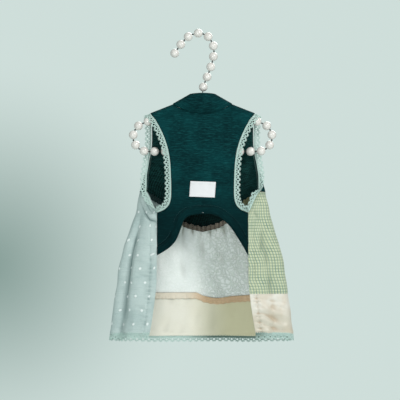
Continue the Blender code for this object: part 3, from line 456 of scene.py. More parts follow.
def arch_point(across, inset):
    """Points (x, drop) of the belly arch, moved into the panel."""
    def edge(at):
        far = np.minimum(np.abs(at), 1.0)
        fall = np.where(at > 0, smooth(RIGHT_ARCH, "fall", far), smooth(LEFT_ARCH, "fall", far))
        return np.stack([at * BELLY_WIDTH / 2, BELLY_LENGTH - ARCH_HEIGHT * (1 - fall)], axis=-1)

    step = 0.02
    along = edge(np.minimum(across + step, 1)) - edge(np.maximum(across - step, -1))
    into = unit(np.stack([along[..., 1], -along[..., 0]], axis=-1))
    upward = np.stack([np.zeros_like(across), -1 / np.maximum(-into[..., 1], 0.55)], axis=-1)
    turned = blend(into, upward, ease((np.abs(across) - 0.6) / 0.4)[..., None])
    at = edge(across) + turned * np.broadcast_to(inset, across.shape)[..., None]
    return at[..., 0], at[..., 1]


def waist_drop(angle):
    return blend(ARMHOLE_SIDE_DROP, WAIST_DROP, smooth(WAISTLINE, "fall", angle))


ARMHOLE_CORNER = math.degrees(math.asin(ARMHOLE_BACK_WIDTH / 2 / float(half_width(ARMHOLE_SIDE_DROP))))


def armhole_turn(drop, speed=1):
    """0 where the armhole's back edge runs along the fold of the side, 1 at its corner."""
    return ease((drop - ARMHOLE_TURN_DROP) / (ARMHOLE_SIDE_DROP - ARMHOLE_TURN_DROP) * speed)


def armhole_back_angle(drop):
    return blend(90, ARMHOLE_CORNER, armhole_turn(drop))


def flap_angle(drop):
    """Angle of the free edge of a skirt side."""
    spread = smooth(FLAP_EDGES, "spread", (drop - BELLY_LENGTH) / (HEM_SEAM_DROP - BELLY_LENGTH))
    edge = blend(BELLY_WIDTH, FLAP_SPACING, spread) / 2
    return np.degrees(np.arcsin((edge + SEAM_GAP / 2) / half_width(drop)))


def center_seam_angle(drop, toward_back):
    """Angle of a cloth's edge at the seam beside the middle of the back, on one side of it."""
    seam = 180 - np.degrees(np.arcsin(smooth(CENTER_SEAMS, "half_width", drop / DRESS_LENGTH)))
    return seam + toward_back * np.degrees(SEAM_GAP / 2 / half_width(drop))


def skirt_top_drop(angle):
    """Upper edge of the skirt: the waist seam, then the bottom of the armhole up to the side seam."""
    share = np.maximum(ARMHOLE_CORNER - angle, 0) / (ARMHOLE_CORNER - flap_angle(ARMHOLE_DEPTH))
    below_armhole = blend(waist_drop(ARMHOLE_CORNER), ARMHOLE_DEPTH, share**1.3)
    return np.where(angle >= ARMHOLE_CORNER, waist_drop(angle), below_armhole)


def hem_drop(angle):
    return HEM_SEAM_DROP - HEM_RISE * (1 - ease((angle - 40) / 120))


def tier_seam_drop(side, angle):
    """Seam between the skirt's upper and lower tier."""
    wave = smooth(TIER_WAVES, "dip", right_round(side, angle)) * TIER_WAVE_DEPTH
    return HEM_SEAM_DROP - LOWER_TIER_HEIGHT + wave


def settle(angle, drop_at, angle_at, rounds=10):
    """Angle and drop of points where each depends on the other, from a first guess of the angle."""
    for _ in range(rounds):
        drop = drop_at(angle)
        angle = angle_at(drop)
    return angle, drop


def crease_fade(along):
    return 0.35 + 0.65 * np.sin(np.pi * along)


def tuck_fade(along):
    return 1 - ease(along)


def crease_depth(creases, fade, x, drop):
    """How far a list of creases moves the cloth outwards at a place in front view."""
    total = np.zeros(np.broadcast(x, drop).shape)
    for width, depth, *line in creases:
        route = np.array(line) / 1000
        best, along = np.full(total.shape, 1e9), np.zeros(total.shape)
        for i, (a, b) in enumerate(zip(route, route[1:])):
            span = b - a
            t = np.clip(((x - a[0]) * span[0] + (drop - a[1]) * span[1]) / (span @ span), 0, 1)
            far = np.hypot(x - a[0] - t * span[0], drop - a[1] - t * span[1])
            along = np.where(far < best, (i + t) / (len(route) - 1), along)
            best = np.minimum(best, far)
        total += depth / 1000 * swell(best, width / 1000) * fade(along)
    return total


def ripples(x, drop, size, depth, seed):
    """Soft uneven wrinkles of about a given size."""
    total = 0.0
    for i in range(7):
        turn = seed * 1.7 + i * 2.399
        phase = seed * 3.1 + i * 1.93
        pull = 2 * np.pi / (size * (0.7 + 0.17 * i))
        total = total + np.sin(pull * (x * math.cos(turn) + drop * math.sin(turn)) + phase) / 2.6
    return depth * total


# Meshes


def into_scene(name, data):
    """A new object at the origin, with its place in its data."""
    made = bpy.data.objects.new(name, data)
    bpy.context.scene.collection.objects.link(made)
    return made


def finish_mesh(name, bm, look):
    mesh = bpy.data.meshes.new(name)
    bm.to_mesh(mesh)
    bm.free()
    mesh.materials.append(look)
    mesh.shade_smooth()
    return into_scene(name, mesh)


def lay_flat(bm, flat):
    """A UV map of the cloth, in metres, from each vertex's place on the flat cloth."""
    layer = bm.loops.layers.uv.new("cloth")
    bm.verts.index_update()
    for face in bm.faces:
        for loop in face.loops:
            loop[layer].uv = flat[loop.vert.index]


def set_along(center, heading):
    """The matrix that turns a shape's own Z along a heading and moves it to a center."""
    return Matrix.Translation(center) @ heading.to_track_quat("Z", "Y").to_matrix().to_4x4()


def folds_seen(grid):
    """How deep each point of a grid lies in a fold, seen from the belly side: 0.5 is flat, 1 deep.
    It sets how much painted shade darkens the cloth there.
    """
    normal = unit(np.cross(np.gradient(grid, axis=0), np.gradient(grid, axis=1)))
    normal = normal * np.where(normal[..., 1:2] > 0, -1, 1)
    smoothed = grid
    for axis in (0, 1):
        spacing = np.median(np.linalg.norm(np.diff(grid, axis=axis), axis=2))
        pad = [(0, 0), (0, 0), (0, 0)]
        pad[axis] = (1, 1)
        for _ in range(int(min(60, (FOLD_REACH / max(spacing, 1e-4)) ** 2 * 2))):
            padded = np.pad(smoothed, pad, mode="reflect", reflect_type="odd")
            before = np.take(padded, range(0, padded.shape[axis] - 2), axis=axis)
            after = np.take(padded, range(2, padded.shape[axis]), axis=axis)
            smoothed = (before + after) / 4 + smoothed / 2
    depth = ((smoothed - grid) * normal).sum(axis=2)
    return np.clip(0.5 + 0.5 * depth / FOLD_FULL_DEPTH, 0, 1)


def cloth(name, columns, rows, place, thickness, look, closed=False, level=False, inner=None, shade=None):
    """A sheet of cloth: a grid whose point at each column and row value goes where place says.

    Its UV map, in metres, counts along the rows from the middle column or the first one, and
    down the columns, or by the drop where level is set. Its attribute fold, how much painted
    shade darkens the cloth, is how deep the point lies in a fold, or what shade says where that
    is more. Its other face has the look inner, if given.
    """
    bm = bmesh.new()
    bmesh.ops.create_grid(bm, x_segments=len(columns) - 1, y_segments=len(rows) - 1, size=1)
    flat = (np.array([vert.co for vert in bm.verts]) + 1) / 2
    i = np.rint(flat[:, 0] * (len(columns) - 1)).astype(int)
    j = np.rint(flat[:, 1] * (len(rows) - 1)).astype(int)
    at = place(columns[i], rows[j])
    grid = np.zeros((len(columns), len(rows), 3))
    grid[i, j] = at + DRESS_PLACE
    across = np.stack([distances(grid[:, k]) for k in range(len(rows))], axis=1)
    if columns[0] < 0:
        across = across - across[len(columns) // 2]
    down = np.mean([distances(line) for line in grid], axis=0) + np.zeros(across.shape)
    if level:
        down = -grid[:, :, 2]
    fold = folds_seen(grid)[i, j]
    if shade:
        fold = np.maximum(fold, shade(at, columns[i], rows[j]))
    fold_layer = bm.verts.layers.float.new("fold")
    for vert, point, depth in zip(bm.verts, grid[i, j], fold):
        vert.co = point
        vert[fold_layer] = depth
    lay_flat(bm, np.stack([across[i, j], down[i, j]], axis=1))
    if closed:
        bmesh.ops.remove_doubles(bm, verts=bm.verts, dist=1e-6)
    made = finish_mesh(name, bm, look)
    wall = made.modifiers.new("wall", "SOLIDIFY")
    wall.thickness = thickness
    wall.offset = 0.0
    if inner:
        made.data.materials.append(inner)
        wall.material_offset = 1
    return made


# The bodice: where its cloth goes, and how deep its folds look


def collar_place(turn, height):
    across, forward = np.sin(turn), np.cos(turn)
    neck_x = NECK_WIDTH / 2 * across
    drop = NECK_POINT_DROP + np.where(forward > 0, BELLY_NECK_DIP, BACK_NECK_DIP) * forward**2
    gap = SEAM_GAP + (SOLID_WALL / 2) * np.abs(across) ** 6
    angle = 180 - np.degrees(np.arcsin(np.minimum(np.abs(neck_x) / half_width(drop), 1)))
    back = garment_point(np.where(across < 0, -1, 1), angle, drop)
    base = np.where((forward > 0)[:, None], belly_point(neck_x, drop), back) + points(0, 0, gap)
    base[:, 1] *= np.minimum(1.0, 8 * np.abs(forward))
    top = points(COLLAR_TOP_WIDTH / 2 * across, -COLLAR_DEPTH / 2 * forward, -COLLAR_TOP_DIP * across**2)
    roll = 0.0012 * np.sin(np.pi * height) + 0.0026 * ease(height / 0.35) * ease((0.9 - height) / 0.5)
    soft = ripples(neck_x, drop * height, 0.02, 0.00025, 3) * np.sin(np.pi * height)
    return blend(base, top, height[:, None]) + points(0, -forward * (roll + soft), 0)


def shade_on_collar(at, turn, height):
    return 0.5 + 0.12 * swell(height, 0.30) * ease(np.cos(turn) * 2)


def belly_panel_place(across, row):
    crown_drop = BELLY_LENGTH - ARCH_HEIGHT - BAND_WIDTH - BELLY_CROWN
    at_armhole = blend(ARMHOLE_DEPTH, crown_drop, (1 - across**2) ** 2)
    edge = belly_edge(drop_between(SHOULDER_DROP, ARMHOLE_DEPTH, np.minimum(row, 1))) - SEAM_GAP / 2
    top = neck_drop(across * (SHOULDER_WIDTH - SEAM_GAP) / 2, BELLY_NECK_DIP)
    arch_x, arch_drop = arch_point(across, BAND_WIDTH + SEAM_GAP)
    arch_x = arch_x * (1 - SEAM_GAP / BELLY_WIDTH)
    side_x = across * (BELLY_WIDTH - SEAM_GAP) / 2
    upper_drop = drop_between(top, at_armhole, np.minimum(row, 1))
    x = np.where(row > 1, blend(side_x, arch_x, row - 1), across * edge)
    drop = np.where(row > 1, blend(at_armhole, arch_drop, row - 1), upper_drop)
    inside = 1 - np.abs(across)
    soft = ripples(x * 0.35, drop, 0.024, 0.00035, 1) * ease(np.minimum(row + 0.2, 1)) * ease(inside * 6)
    rolled = 0.0005 * swell(inside * edge / 0.0022 - 1, 0.5**0.5) * ease(row * 5)
    pinched = -0.0013 * swell((2 - row) * 0.05, 0.0024)
    under_neck = -0.0016 * swell(drop - neck_drop(x, BELLY_NECK_DIP), 0.008) * ease(2 - row * 4)
    return belly_point(x, drop, soft + rolled + pinched + under_neck * (np.abs(x) < NECK_WIDTH / 2))


def shade_under_collar(at, across, row):
    below = -at[:, 2] - neck_drop(at[:, 0], BELLY_NECK_DIP)
    return 0.5 + 0.15 * swell(below, 0.0085) * ease((NECK_WIDTH * 0.62 - np.abs(at[:, 0])) / 0.016)


def belly_band_place(across, row):
    x, drop = arch_point(across, BAND_WIDTH * row)
    puff = 0.0016 * np.sin(np.pi * row) ** 0.7 + 0.0002 * np.sin(across * 150 + row * 4)
    return belly_point(x * (1 - SEAM_GAP / BELLY_WIDTH), drop, puff - 0.0002)


def back_panel_place(turned, row):
    side, waist_angle = both_sides(turned)
    share = (180 - waist_angle) / (180 - ARMHOLE_CORNER)
    bottom = waist_drop(waist_angle) - SEAM_GAP / 2
    drop = np.full(turned.shape, SHOULDER_DROP)
    for _ in range(8):
        angle = 180 - share * (180 - armhole_back_angle(drop))
        x = front_x(1, angle, drop)
        top = np.where(angle >= 90, neck_drop(x, BACK_NECK_DIP), SHOULDER_DROP)
        drop = drop_between(np.minimum(top, SHOULDER_DROP), bottom, row)
    calm = ease(row * 3) * ease((1 - row) * 8) * ease((1 - share) * 6)
    return garment_point(side, angle, drop, ripples(x * side * 0.6, drop, 0.03, 0.0005, 5) * calm)


def armhole_seam_place(side):
    """The overlocked seam inside the armhole's back edge, with a zigzag inner side."""
    def place(across, row):
        drop = drop_between(SHOULDER_DROP, ARMHOLE_SIDE_DROP - 0.002, row)
        zigzag = 0.0011 * np.abs((drop / 0.005) % 1 - 0.5) * 2
        strip = 0.0006 + (0.0030 + zigzag) * across
        angle = armhole_back_angle(drop) + np.degrees(strip / half_width(drop))
        return garment_point(side, angle, drop, -0.0012 - 0.0002 * np.sin(drop * 2600))

    return place


def label_place(across, up):
    x = across * LABEL_WIDTH / 2 + up * 0.0008
    drop = LABEL_DROP - up * LABEL_HEIGHT / 2 + across * 0.0006
    lift = SOLID_WALL / 2 + 0.0006 + 0.0004 * (across**2 * up**2) + 0.0001 * np.sin(across * 9)
    return belly_point(x, drop, lift)


def pleat(turned):
    return sine(turned * 97) + 0.5 * sine(turned * 211 + 60)


def ruffle_place(turned, row):
    """The gathered seam allowance inside the waist, in small uneven pleats."""
    side, angle = both_sides(turned)
    top = waist_drop(angle) - 0.0015
    base = garment_point(side, angle, top, -(SOLID_WALL + RUFFLE_DEPTH + 0.0012))
    uneven = 0.0007 * sine(turned * 71) + 0.0005 * sine(turned * 173)
    drop = top + RUFFLE_HEIGHT * row - uneven * (1 - row)
    toward = unit(points(-base[:, 0], -base[:, 1], 0))
    deep = RUFFLE_DEPTH * pleat(turned) * (0.7 + 0.8 * row)
    return points(base[:, 0], base[:, 1], -drop) + toward * deep[:, None]


def shade_in_pleats(at, turned, row):
    return 0.74 - 0.16 * pleat(turned) + 0.14 * np.abs(row - 0.5)


# The skirt


def facing_puckers(edge_distance, drop, depth, pitch):
    """The stitched line of a facing next to a free edge: a furrow with small puckers along it."""
    far = edge_distance - STITCH_INSET
    turns = 2 * np.pi * drop / pitch
    wave = np.sin(turns + 1.3 * np.sin(drop * 310)) + 0.5 * np.sin(turns * 1.7)
    return depth * (0.8 * wave * swell(far, 0.0045) - swell(far, 0.0016))


def skirt_side_place(side, levels, creases, seam_depth, pucker_pitch, seed):
    """A side of the skirt, from the middle of its back round the fold to the free flap edge."""
    def place(share, row):
        above = np.minimum(row.astype(int), len(levels) - 2)
        index = np.arange(len(above))

        def drop_at(angle):
            edges = np.array([level(angle) for level in levels])
            return blend(edges[above, index], edges[above + 1, index], row - above)

        def angle_at(drop):
            return blend(center_seam_angle(drop, -1), flap_angle(drop), share)

        angle, drop = settle(np.full(share.shape, 90.0), drop_at, angle_at)
        x = front_x(side, angle, drop)
        from_edge = np.radians(angle - flap_angle(drop)) * half_width(drop) * FLAP_LEAN
        top, hem = levels[0](angle), hem_drop(angle)
        calm = ease((drop - top) / 0.012) * ease((hem - drop) / 0.006 + 0.3)
        folded = ripples(x * 1.4, drop * 0.8, 0.026, 0.0005, seed) * calm
        creased = crease_depth(creases, crease_fade, x, drop) * calm
        below_belly = ease((drop - BELLY_LENGTH * 0.9) / 0.03)
        puckers = facing_puckers(from_edge, drop, seam_depth, pucker_pitch) * blend(0.25, 1.0, below_belly)
        hem_fold = 0.0004 * swell(hem - drop - 0.003, 0.003)
        outward = folded + np.where(angle < 90, creased + puckers, 0) + hem_fold
        return garment_point(side, angle, drop, outward)

    return place


def shade_by_armhole(at, share, row):
    return 0.5 + 0.30 * swell(np.clip(row, 0, 1), 0.06)


def middle_place(across, drop_at):
    """Side, angle and drop of points in the middle of the skirt's back, across from seam to seam."""
    side = np.where(across >= 0, 1, -1)
    angle, drop = settle(
        np.full(across.shape, 180.0), lambda angle: drop_at(side, angle),
        lambda drop: 180 - np.abs(across) * (180 - center_seam_angle(drop, 1)),
    )
    return side, angle, drop


def skirt_back_place(top, bottom, tucks, seed):
    def place(across, row):
        side, angle, drop = middle_place(
            across, lambda side, angle: blend(bottom(side, angle), top(side, angle), row)
        )
        x = front_x(side, angle, drop)
        soft = ripples(x, drop * 0.5, 0.022, 0.0006, seed) * ease(row * 7) * ease((1 - row) * 7)
        tucked = crease_depth(tucks, tuck_fade, x, drop) * ease((1 - row) * 12)
        return garment_point(side, angle, drop, soft + tucked)

    return place


def shade_by_waist(at, across, row):
    return 0.5 + 0.14 * swell(1 - row, 0.10) + 0.06 * swell(row, 0.03)


def tape_place(across, row):
    uneven = 0.0003 + 0.0004 * np.sin(across * 60) * row
    side, angle, drop = middle_place(
        across, lambda side, angle: tier_seam_drop(side, angle) + TAPE_HEIGHT * row + uneven
    )
    return garment_point(side, angle, drop, -(0.0013 + 0.0003 * np.sin(across * 95) * row))


# Lace


def ring_of_thread(bm, center, radius, thread):
    """A ring of round thread, flat in the lace's plane, spun from a small circle."""
    place = Matrix.Translation(center + Vector((radius, 0, 0))) @ Matrix.Rotation(math.pi / 2, 4, "X")
    circle = bmesh.ops.create_circle(bm, segments=6, radius=thread, matrix=place)["verts"]
    edges = list({edge for vert in circle for edge in vert.link_edges})
    bmesh.ops.spin(
        bm, geom=circle + edges, cent=center, axis=(0, 0, 1), angle=2 * math.pi, steps=14, use_merge=True
    )


def thread_between(bm, start, end, thread):
    """A short straight thread."""
    a, b = Vector(start), Vector(end)
    bmesh.ops.create_cone(
        bm, cap_ends=True, segments=5, radius1=thread, radius2=thread, depth=(b - a).length,
        matrix=set_along((a + b) / 2, b - a),
    )


def knob(bm, center, radius):
    bmesh.ops.create_icosphere(bm, subdivisions=1, radius=radius, matrix=Matrix.Translation(Vector(center)))


def lace_motif(braids, teeth):
    """One repeat of the lace laid flat: a braided edge, then a ring with picots between two posts."""
    bm = bmesh.new()
    quarter, post, up = LACE_REPEAT / 4, 0.0001, 0.0053
    for i, across in enumerate(braids):
        for k in range(4):
            start = quarter * k
            high = 0.0002 * (1 if (k + i) % 2 else -1)
            thread_between(bm, (start, across, high), (start + quarter, across + 0.0004, -high), 0.00068)
    for k in range(3 if teeth else 0):
        knob(bm, (LACE_REPEAT * (k + 0.5) / 3, -0.0005, 0), 0.0009)
    center = Vector((LACE_REPEAT / 2, up, 0))
    ring_of_thread(bm, center, 0.0021, 0.00075)
    for share in (0.10, 0.30, 0.50, 0.70, 0.90):
        at = math.pi * share
        knob(bm, center + 0.0033 * Vector((math.cos(at), math.sin(at), 0)), 0.00075)
    thread_between(bm, (post, 0.0020, 0), (post, 0.0058, 0), 0.0007)
    for reach in (-0.0017, 0.0017):
        thread_between(bm, (post, 0.0050, 0), (post + reach, up, 0), 0.00045)
    knob(bm, (post, 0.0059, 0), 0.0008)
    mesh = bpy.data.meshes.new("lace_motif")
    bm.to_mesh(mesh)
    bm.free()
    return mesh


class LaceLine:
    """Stations along a sewn edge, each with its point and the way the lace points there."""

    def __init__(self, bases, ways, closed):
        if closed:
            bases, ways = np.vstack([bases, bases[:1]]), np.vstack([ways, ways[:1]])
        gone = distances(bases)
        even = steps(500, 0, gone[-1])
        self.base, self.way = on_path(bases, gone, even), on_path(ways, gone, even)
        for _ in range(6):
            for line in (self.base, self.way):
                inner = (line[:-2] + line[2:]) / 4 + line[1:-1] / 2
                if closed:
                    line[0] = line[-1] = (line[1] + line[-2]) / 4 + line[0] / 2
                line[1:-1] = inner
        self.way = unit(self.way)
        self.along = unit(np.gradient(self.base, axis=0))
        self.gone = distances(self.base)
        self.length = self.gone[-1]

    def bend(self, along, across, high):
        """Points of the flat lace, moved to where they lie along the edge."""
        base, way, ahead = (on_path(line, self.gone, along) for line in (self.base, self.way, self.along))
        way, ahead = unit(way), unit(ahead)
        way = unit(way - ahead * (way * ahead).sum(axis=1, keepdims=True) * 0.8)
        wave = 0.0007 * np.sin(along * 2 * np.pi / 0.031) * (across / LACE_WIDTH) ** 2
        return base + way * across[:, None] + np.cross(ahead, way) * (high + wave)[:, None]


def make_lace(name, line, pitch, braids, look, teeth=False):
    """The lace's repeat laid along a line and bent to it."""
    motif = lace_motif(braids, teeth)
    repeats = round(line.length / pitch)
    bm = bmesh.new()
    for i in range(repeats):
        known = len(bm.verts)
        bm.from_mesh(motif)
        bm.verts.ensure_lookup_table()
        bmesh.ops.translate(bm, verts=bm.verts[known:], vec=(i * LACE_REPEAT, 0, 0))
    bpy.data.meshes.remove(motif)
    flat = np.array([vert.co for vert in bm.verts])
    along = np.clip(flat[:, 0] / (repeats * LACE_REPEAT), 0, 1) * line.length
    for vert, point in zip(bm.verts, line.bend(along, flat[:, 1], flat[:, 2]) + DRESS_PLACE):
        vert.co = point
    lay_flat(bm, flat[:, :2])
    bmesh.ops.recalc_face_normals(bm, faces=bm.faces)
    return finish_mesh(name, bm, look)


def lace_way(ways, along):
    outward, forward, up = (smooth(ways, column, along) for column in ("outward", "forward", "up"))
    return unit(points(outward, -forward, up))


def armhole_line(side, ways):
    """The armhole's edge: down the belly's edge, along the bottom, up the back's, over the shoulder."""
    rows = np.linspace(-0.75, 1, 56)
    edge = belly_panel_place(np.ones(rows.shape), rows)
    along = unit(np.gradient(edge, axis=0))
    away = unit(points(-along[:, 2], 0.18, along[:, 0]))
    count = np.interp(rows, [0, 0.16, 0.36, 0.57, 0.765, 0.89, 0.955, 1], range(8))
    turned = ease((count - 4) / 2.5)[:, None]
    bases = [edge + away * 0.0005 + points(0, -0.0004, 0)]
    aims = [unit(blend(away, lace_way(ways, np.zeros(rows.shape)), turned))]

    share = steps(29)[1:]
    angle = blend(flap_angle(ARMHOLE_DEPTH), ARMHOLE_CORNER, share)
    bases.append(garment_point(1, angle, skirt_top_drop(angle), 0.0014) + points(0, -0.0010, 0))
    aims.append(lace_way(ways, share))

    rows = np.linspace(0.93, 0, 24)
    drop = drop_between(SHOULDER_DROP, ARMHOLE_SIDE_DROP, rows)
    forward = points(0.0009, -0.0019 * armhole_turn(drop, 3), 0)
    bases.append(garment_point(1, armhole_back_angle(drop), drop) + forward)
    aims.append(lace_way(ways, 2 - rows))

    turn = np.radians(np.linspace(82, -12, 9))
    center = points(SHOULDER_WIDTH / 2 + 0.0006, 0, -(shoulder_drop(SHOULDER_WIDTH / 2) + BEND_DROP))
    bases.append(center + points(0, np.sin(turn), np.cos(turn)) * HANGER_ROOM)
    slope = points(math.cos(SHOULDER_SLOPE), 0, -math.sin(SHOULDER_SLOPE))
    aims.append(np.broadcast_to(slope, (len(turn), 3)))
    bases, aims = np.vstack(bases), np.vstack(aims)
    if side < 0:
        flip = np.array([-1, 1, 1])
        bases, aims = bases[::-1] * flip, aims[::-1] * flip
    return LaceLine(bases, aims, closed=True)


def hem_line():
    start = float(flap_angle(HEM_SEAM_DROP - HEM_RISE))
    side, angle = both_sides(np.linspace(start, 360 - start, 240))
    base = garment_point(side, angle, hem_drop(angle) - 0.0006, 0.0003)
    flare = points(side * sine(angle), -np.cos(np.radians(angle)), 0) * 0.12
    return LaceLine(base, unit(points(0, 0, -1) + flare), closed=False)


# Stitches


def stitch_row(name, path, look, pitch=0.0027, length=0.0019, radius=0.00024):
    """A row of small stitches along a path that lies on the cloth's face."""
    path = path + DRESS_PLACE
    gone = distances(path)
    bm = bmesh.new()
    for start in np.arange(pitch / 2, gone[-1] - length, pitch):
        a, b = (Vector(end) for end in on_path(path, gone, [start, start + length]))
        made = bmesh.ops.create_icosphere(bm, subdivisions=1, radius=1)["verts"]
        bmesh.ops.scale(bm, vec=(radius, radius, (b - a).length / 2), verts=made)
        bmesh.ops.transform(bm, matrix=set_along((a + b) / 2, b - a), verts=made)
    return finish_mesh(name, bm, look)


def facing_stitches(name, side, look, first, last):
    """The stitched line of the facing, down the flap beside its free edge."""
    drop = steps(120, first, last)
    angle = flap_angle(drop) + np.degrees(STITCH_INSET / FLAP_LEAN / half_width(drop))
    return stitch_row(name, garment_point(side, angle, drop, 0.0007), look)


def hem_stitches(name, side, look):
    angle = steps(200, 40, 135)
    return stitch_row(name, garment_point(side, angle, hem_drop(angle) - 0.004, 0.0008), look)


# Beads


def loop_stretches():
    """The loop's slope, bend and bar on one half: a list of (length, point and heading at a distance)."""
    rise, run = math.sin(SHOULDER_SLOPE), math.cos(SHOULDER_SLOPE)
    end = (HANGER_WIDTH - BEAD_DIAMETER) / 2
    radius = (run * (HANGER_BAR_DROP - HANGER_TOP_DROP) - rise * end) / (1 + run - rise)
    center = Vector((end - radius, 0, -(HANGER_BAR_DROP - radius)))
    slope, top = Vector((run, 0, -rise)), Vector((0, 0, -HANGER_TOP_DROP))
    slope_length = (center + radius * Vector((rise, 0, run)) - top).length

    def on_slope(distance):
        return top + slope * distance, slope

    def on_bend(distance):
        at = math.pi / 2 - SHOULDER_SLOPE - distance / radius
        out = Vector((math.cos(at), 0, math.sin(at)))
        return center + out * radius, Vector((out.z, 0, -out.x))

    def on_bar(distance):
        return Vector((center.x - distance, 0, -HANGER_BAR_DROP)), Vector((-1, 0, 0))

    return [(slope_length, on_slope), ((math.pi - SHOULDER_SLOPE) * radius, on_bend), (center.x, on_bar)]


def on_loop(distance, stretches):
    """Point and heading of the loop at a distance from its top, first down the +X side."""
    half = sum(length for length, _ in stretches)
    if distance > half:
        point, heading = on_loop(2 * half - distance, stretches)
        return Vector((-point.x, point.y, point.z)), Vector((heading.x, heading.y, -heading.z))
    for length, stretch in stretches[:-1]:
        if distance <= length:
            return stretch(distance)
        distance -= length
    return stretches[-1][1](distance)


def hook_route():
    """The hook's smooth route from the loop's top to the tip, as close points."""
    foot = Vector((0, 0, -HANGER_TOP_DROP + FOOT_GAP))
    knots = [foot] + [Vector((across * HOOK_WIDTH, 0, up * HOOK_HEIGHT)) for across, up in HOOK_ROUTE]
    padded = [2 * knots[0] - knots[1], *knots, 2 * knots[-1] - knots[-2]]
    route = []
    for a, b, c, d in zip(padded, padded[1:], padded[2:], padded[3:]):
        for t in steps(12)[:-1].tolist():
            bent = (2 * a - 5 * b + 4 * c - d) * t**2 + (3 * b - a - 3 * c + d) * t**3
            route.append(0.5 * (2 * b + (c - a) * t + bent))
    return route + [knots[-1]]


def on_route(route, distance):
    """Point and heading at a distance back from the route's end."""
    for after, before in zip(reversed(route), reversed(route[:-1])):
        span = (after - before).length
        if distance <= span:
            return after.lerp(before, distance / span), (after - before).normalized()
        distance -= span
    return route[0], (route[1] - route[0]).normalized()


def bead_string(name, places, look):
    """Round beads, each drilled through, with its hole's rims along the string."""
    bm = bmesh.new()
    for number, (center, heading) in enumerate(places):
        made = bmesh.ops.create_uvsphere(bm, u_segments=32, v_segments=20, radius=BEAD_DIAMETER / 2)["verts"]
        for vert in made:
            if math.hypot(vert.co.x, vert.co.y) < WIRE_DIAMETER:
                vert.co.z *= 0.86
        spun = Matrix.Rotation(number * 2.4, 4, "Z")
        bmesh.ops.transform(bm, matrix=set_along(center + Vector(DRESS_PLACE), heading) @ spun, verts=made)
    return finish_mesh(name, bm, look)


def wire_and_knots(name, route, gaps, closed, look):
    """The wire through the beads, with a small dark knot in each gap between two beads."""
    curve = bpy.data.curves.new(name, "CURVE")
    curve.dimensions = "3D"
    curve.bevel_depth = WIRE_DIAMETER / 2
    curve.bevel_resolution = 3
    curve.use_fill_caps = not closed
    spline = curve.splines.new("POLY")
    spline.points.add(len(route) - 1)
    for point, at in zip(spline.points, route):
        point.co = (*(at + Vector(DRESS_PLACE)), 1)
    spline.use_cyclic_u = closed
    shape = into_scene(name, curve)
    mesh = bpy.data.meshes.new_from_object(shape.evaluated_get(bpy.context.evaluated_depsgraph_get()))
    bpy.data.objects.remove(shape)
    bm = bmesh.new()
    bm.from_mesh(mesh)
    bpy.data.meshes.remove(mesh)
    for center, heading in gaps:
        made = bmesh.ops.create_uvsphere(bm, u_segments=12, v_segments=8, radius=KNOT_RADIUS)["verts"]
        bmesh.ops.scale(bm, vec=(1, 1, 0.85), verts=made)
        bmesh.ops.transform(bm, matrix=set_along(center + Vector(DRESS_PLACE), heading), verts=made)
    return finish_mesh(name, bm, look)


# Materials


def put(socket, value):
    """Gives an input a number, a colour or another node's output."""
    if isinstance(value, Value):
        value.tree.links.new(value.socket, socket)
    else:
        socket.default_value = value


class Value:
    """A node's output. A sign or a method on it adds the node that does the sum."""

    def __init__(self, socket):
        self.socket, self.tree = socket, socket.id_data

    def reckon(self, operation, *others, kind="Math", last=False):
        """The result of an operation on the value and others, or on another and then the value."""
        made = self.tree.nodes.new("ShaderNode" + kind)
        made.operation = operation
        for socket, value in zip(made.inputs, (*others, self) if last else (self, *others)):
            put(socket, value)
        return Value(made.outputs[0])

    __add__ = partialmethod(reckon, "ADD")
    __sub__ = partialmethod(reckon, "SUBTRACT")
    __rsub__ = partialmethod(reckon, "SUBTRACT", last=True)
    __mul__ = partialmethod(reckon, "MULTIPLY")
    __truediv__ = partialmethod(reckon, "DIVIDE")
    __rtruediv__ = partialmethod(reckon, "DIVIDE", last=True)
    scaled = partialmethod(reckon, "MULTIPLY_ADD")
    aligned = partialmethod(reckon, kind="VectorMath")

    def step(self, low, high):
        """0 below low, 1 above high, smooth between; low may be the larger of the two."""
        return add_node(
            self.tree, "MapRange", {"interpolation_type": "SMOOTHSTEP"},
            Value=self, From_Min=low, From_Max=high, To_Min=0.0, To_Max=1.0,
        )

    def mix(self, a, b):
        """The colour a where the value is 0, b where it is 1."""
        made = self.tree.nodes.new("ShaderNodeMix")
        made.data_type = "RGBA"
        colors = [color if isinstance(color, Value) else (*color, 1.0) for color in (a, b)]
        for number, value in zip((0, 6, 7), (self, *colors)):
            put(made.inputs[number], value)
        return Value(made.outputs[2])


def add_node(tree, kind, settings=None, output=0, **inputs):
    """An output of a new node with its settings and inputs."""
    made = tree.nodes.new("ShaderNode" + kind)
    for name, value in (settings or {}).items():
        setattr(made, name, value)
    for name, value in inputs.items():
        put(made.inputs[name.replace("_", " ")], value)
    return Value(made.outputs[output])


def split(vector):
    made = vector.tree.nodes.new("ShaderNodeSeparateXYZ")
    put(made.inputs[0], vector)
    return [Value(socket) for socket in made.outputs]


def noise(vector, scale, detail, output=0, roughness=0.5):
    return add_node(
        vector.tree, "TexNoise", output=output, Vector=vector, Scale=scale, Detail=detail, Roughness=roughness
    )


def far_from(aside, below):
    return (aside * aside + below * below).reckon("SQRT")


def shaken(vector, scale, detail, reach):
    """A place moved about by a noise, up to half the reach to each side."""
    colors = noise(vector, scale, detail, output=1)
    centered = colors.aligned("SUBTRACT", (0.5, 0.5, 0.5))
    return vector.aligned("ADD", centered.aligned("MULTIPLY", (reach, reach, 0.0)))


# Shared effects: each is built once as a node group, with its arguments as inputs


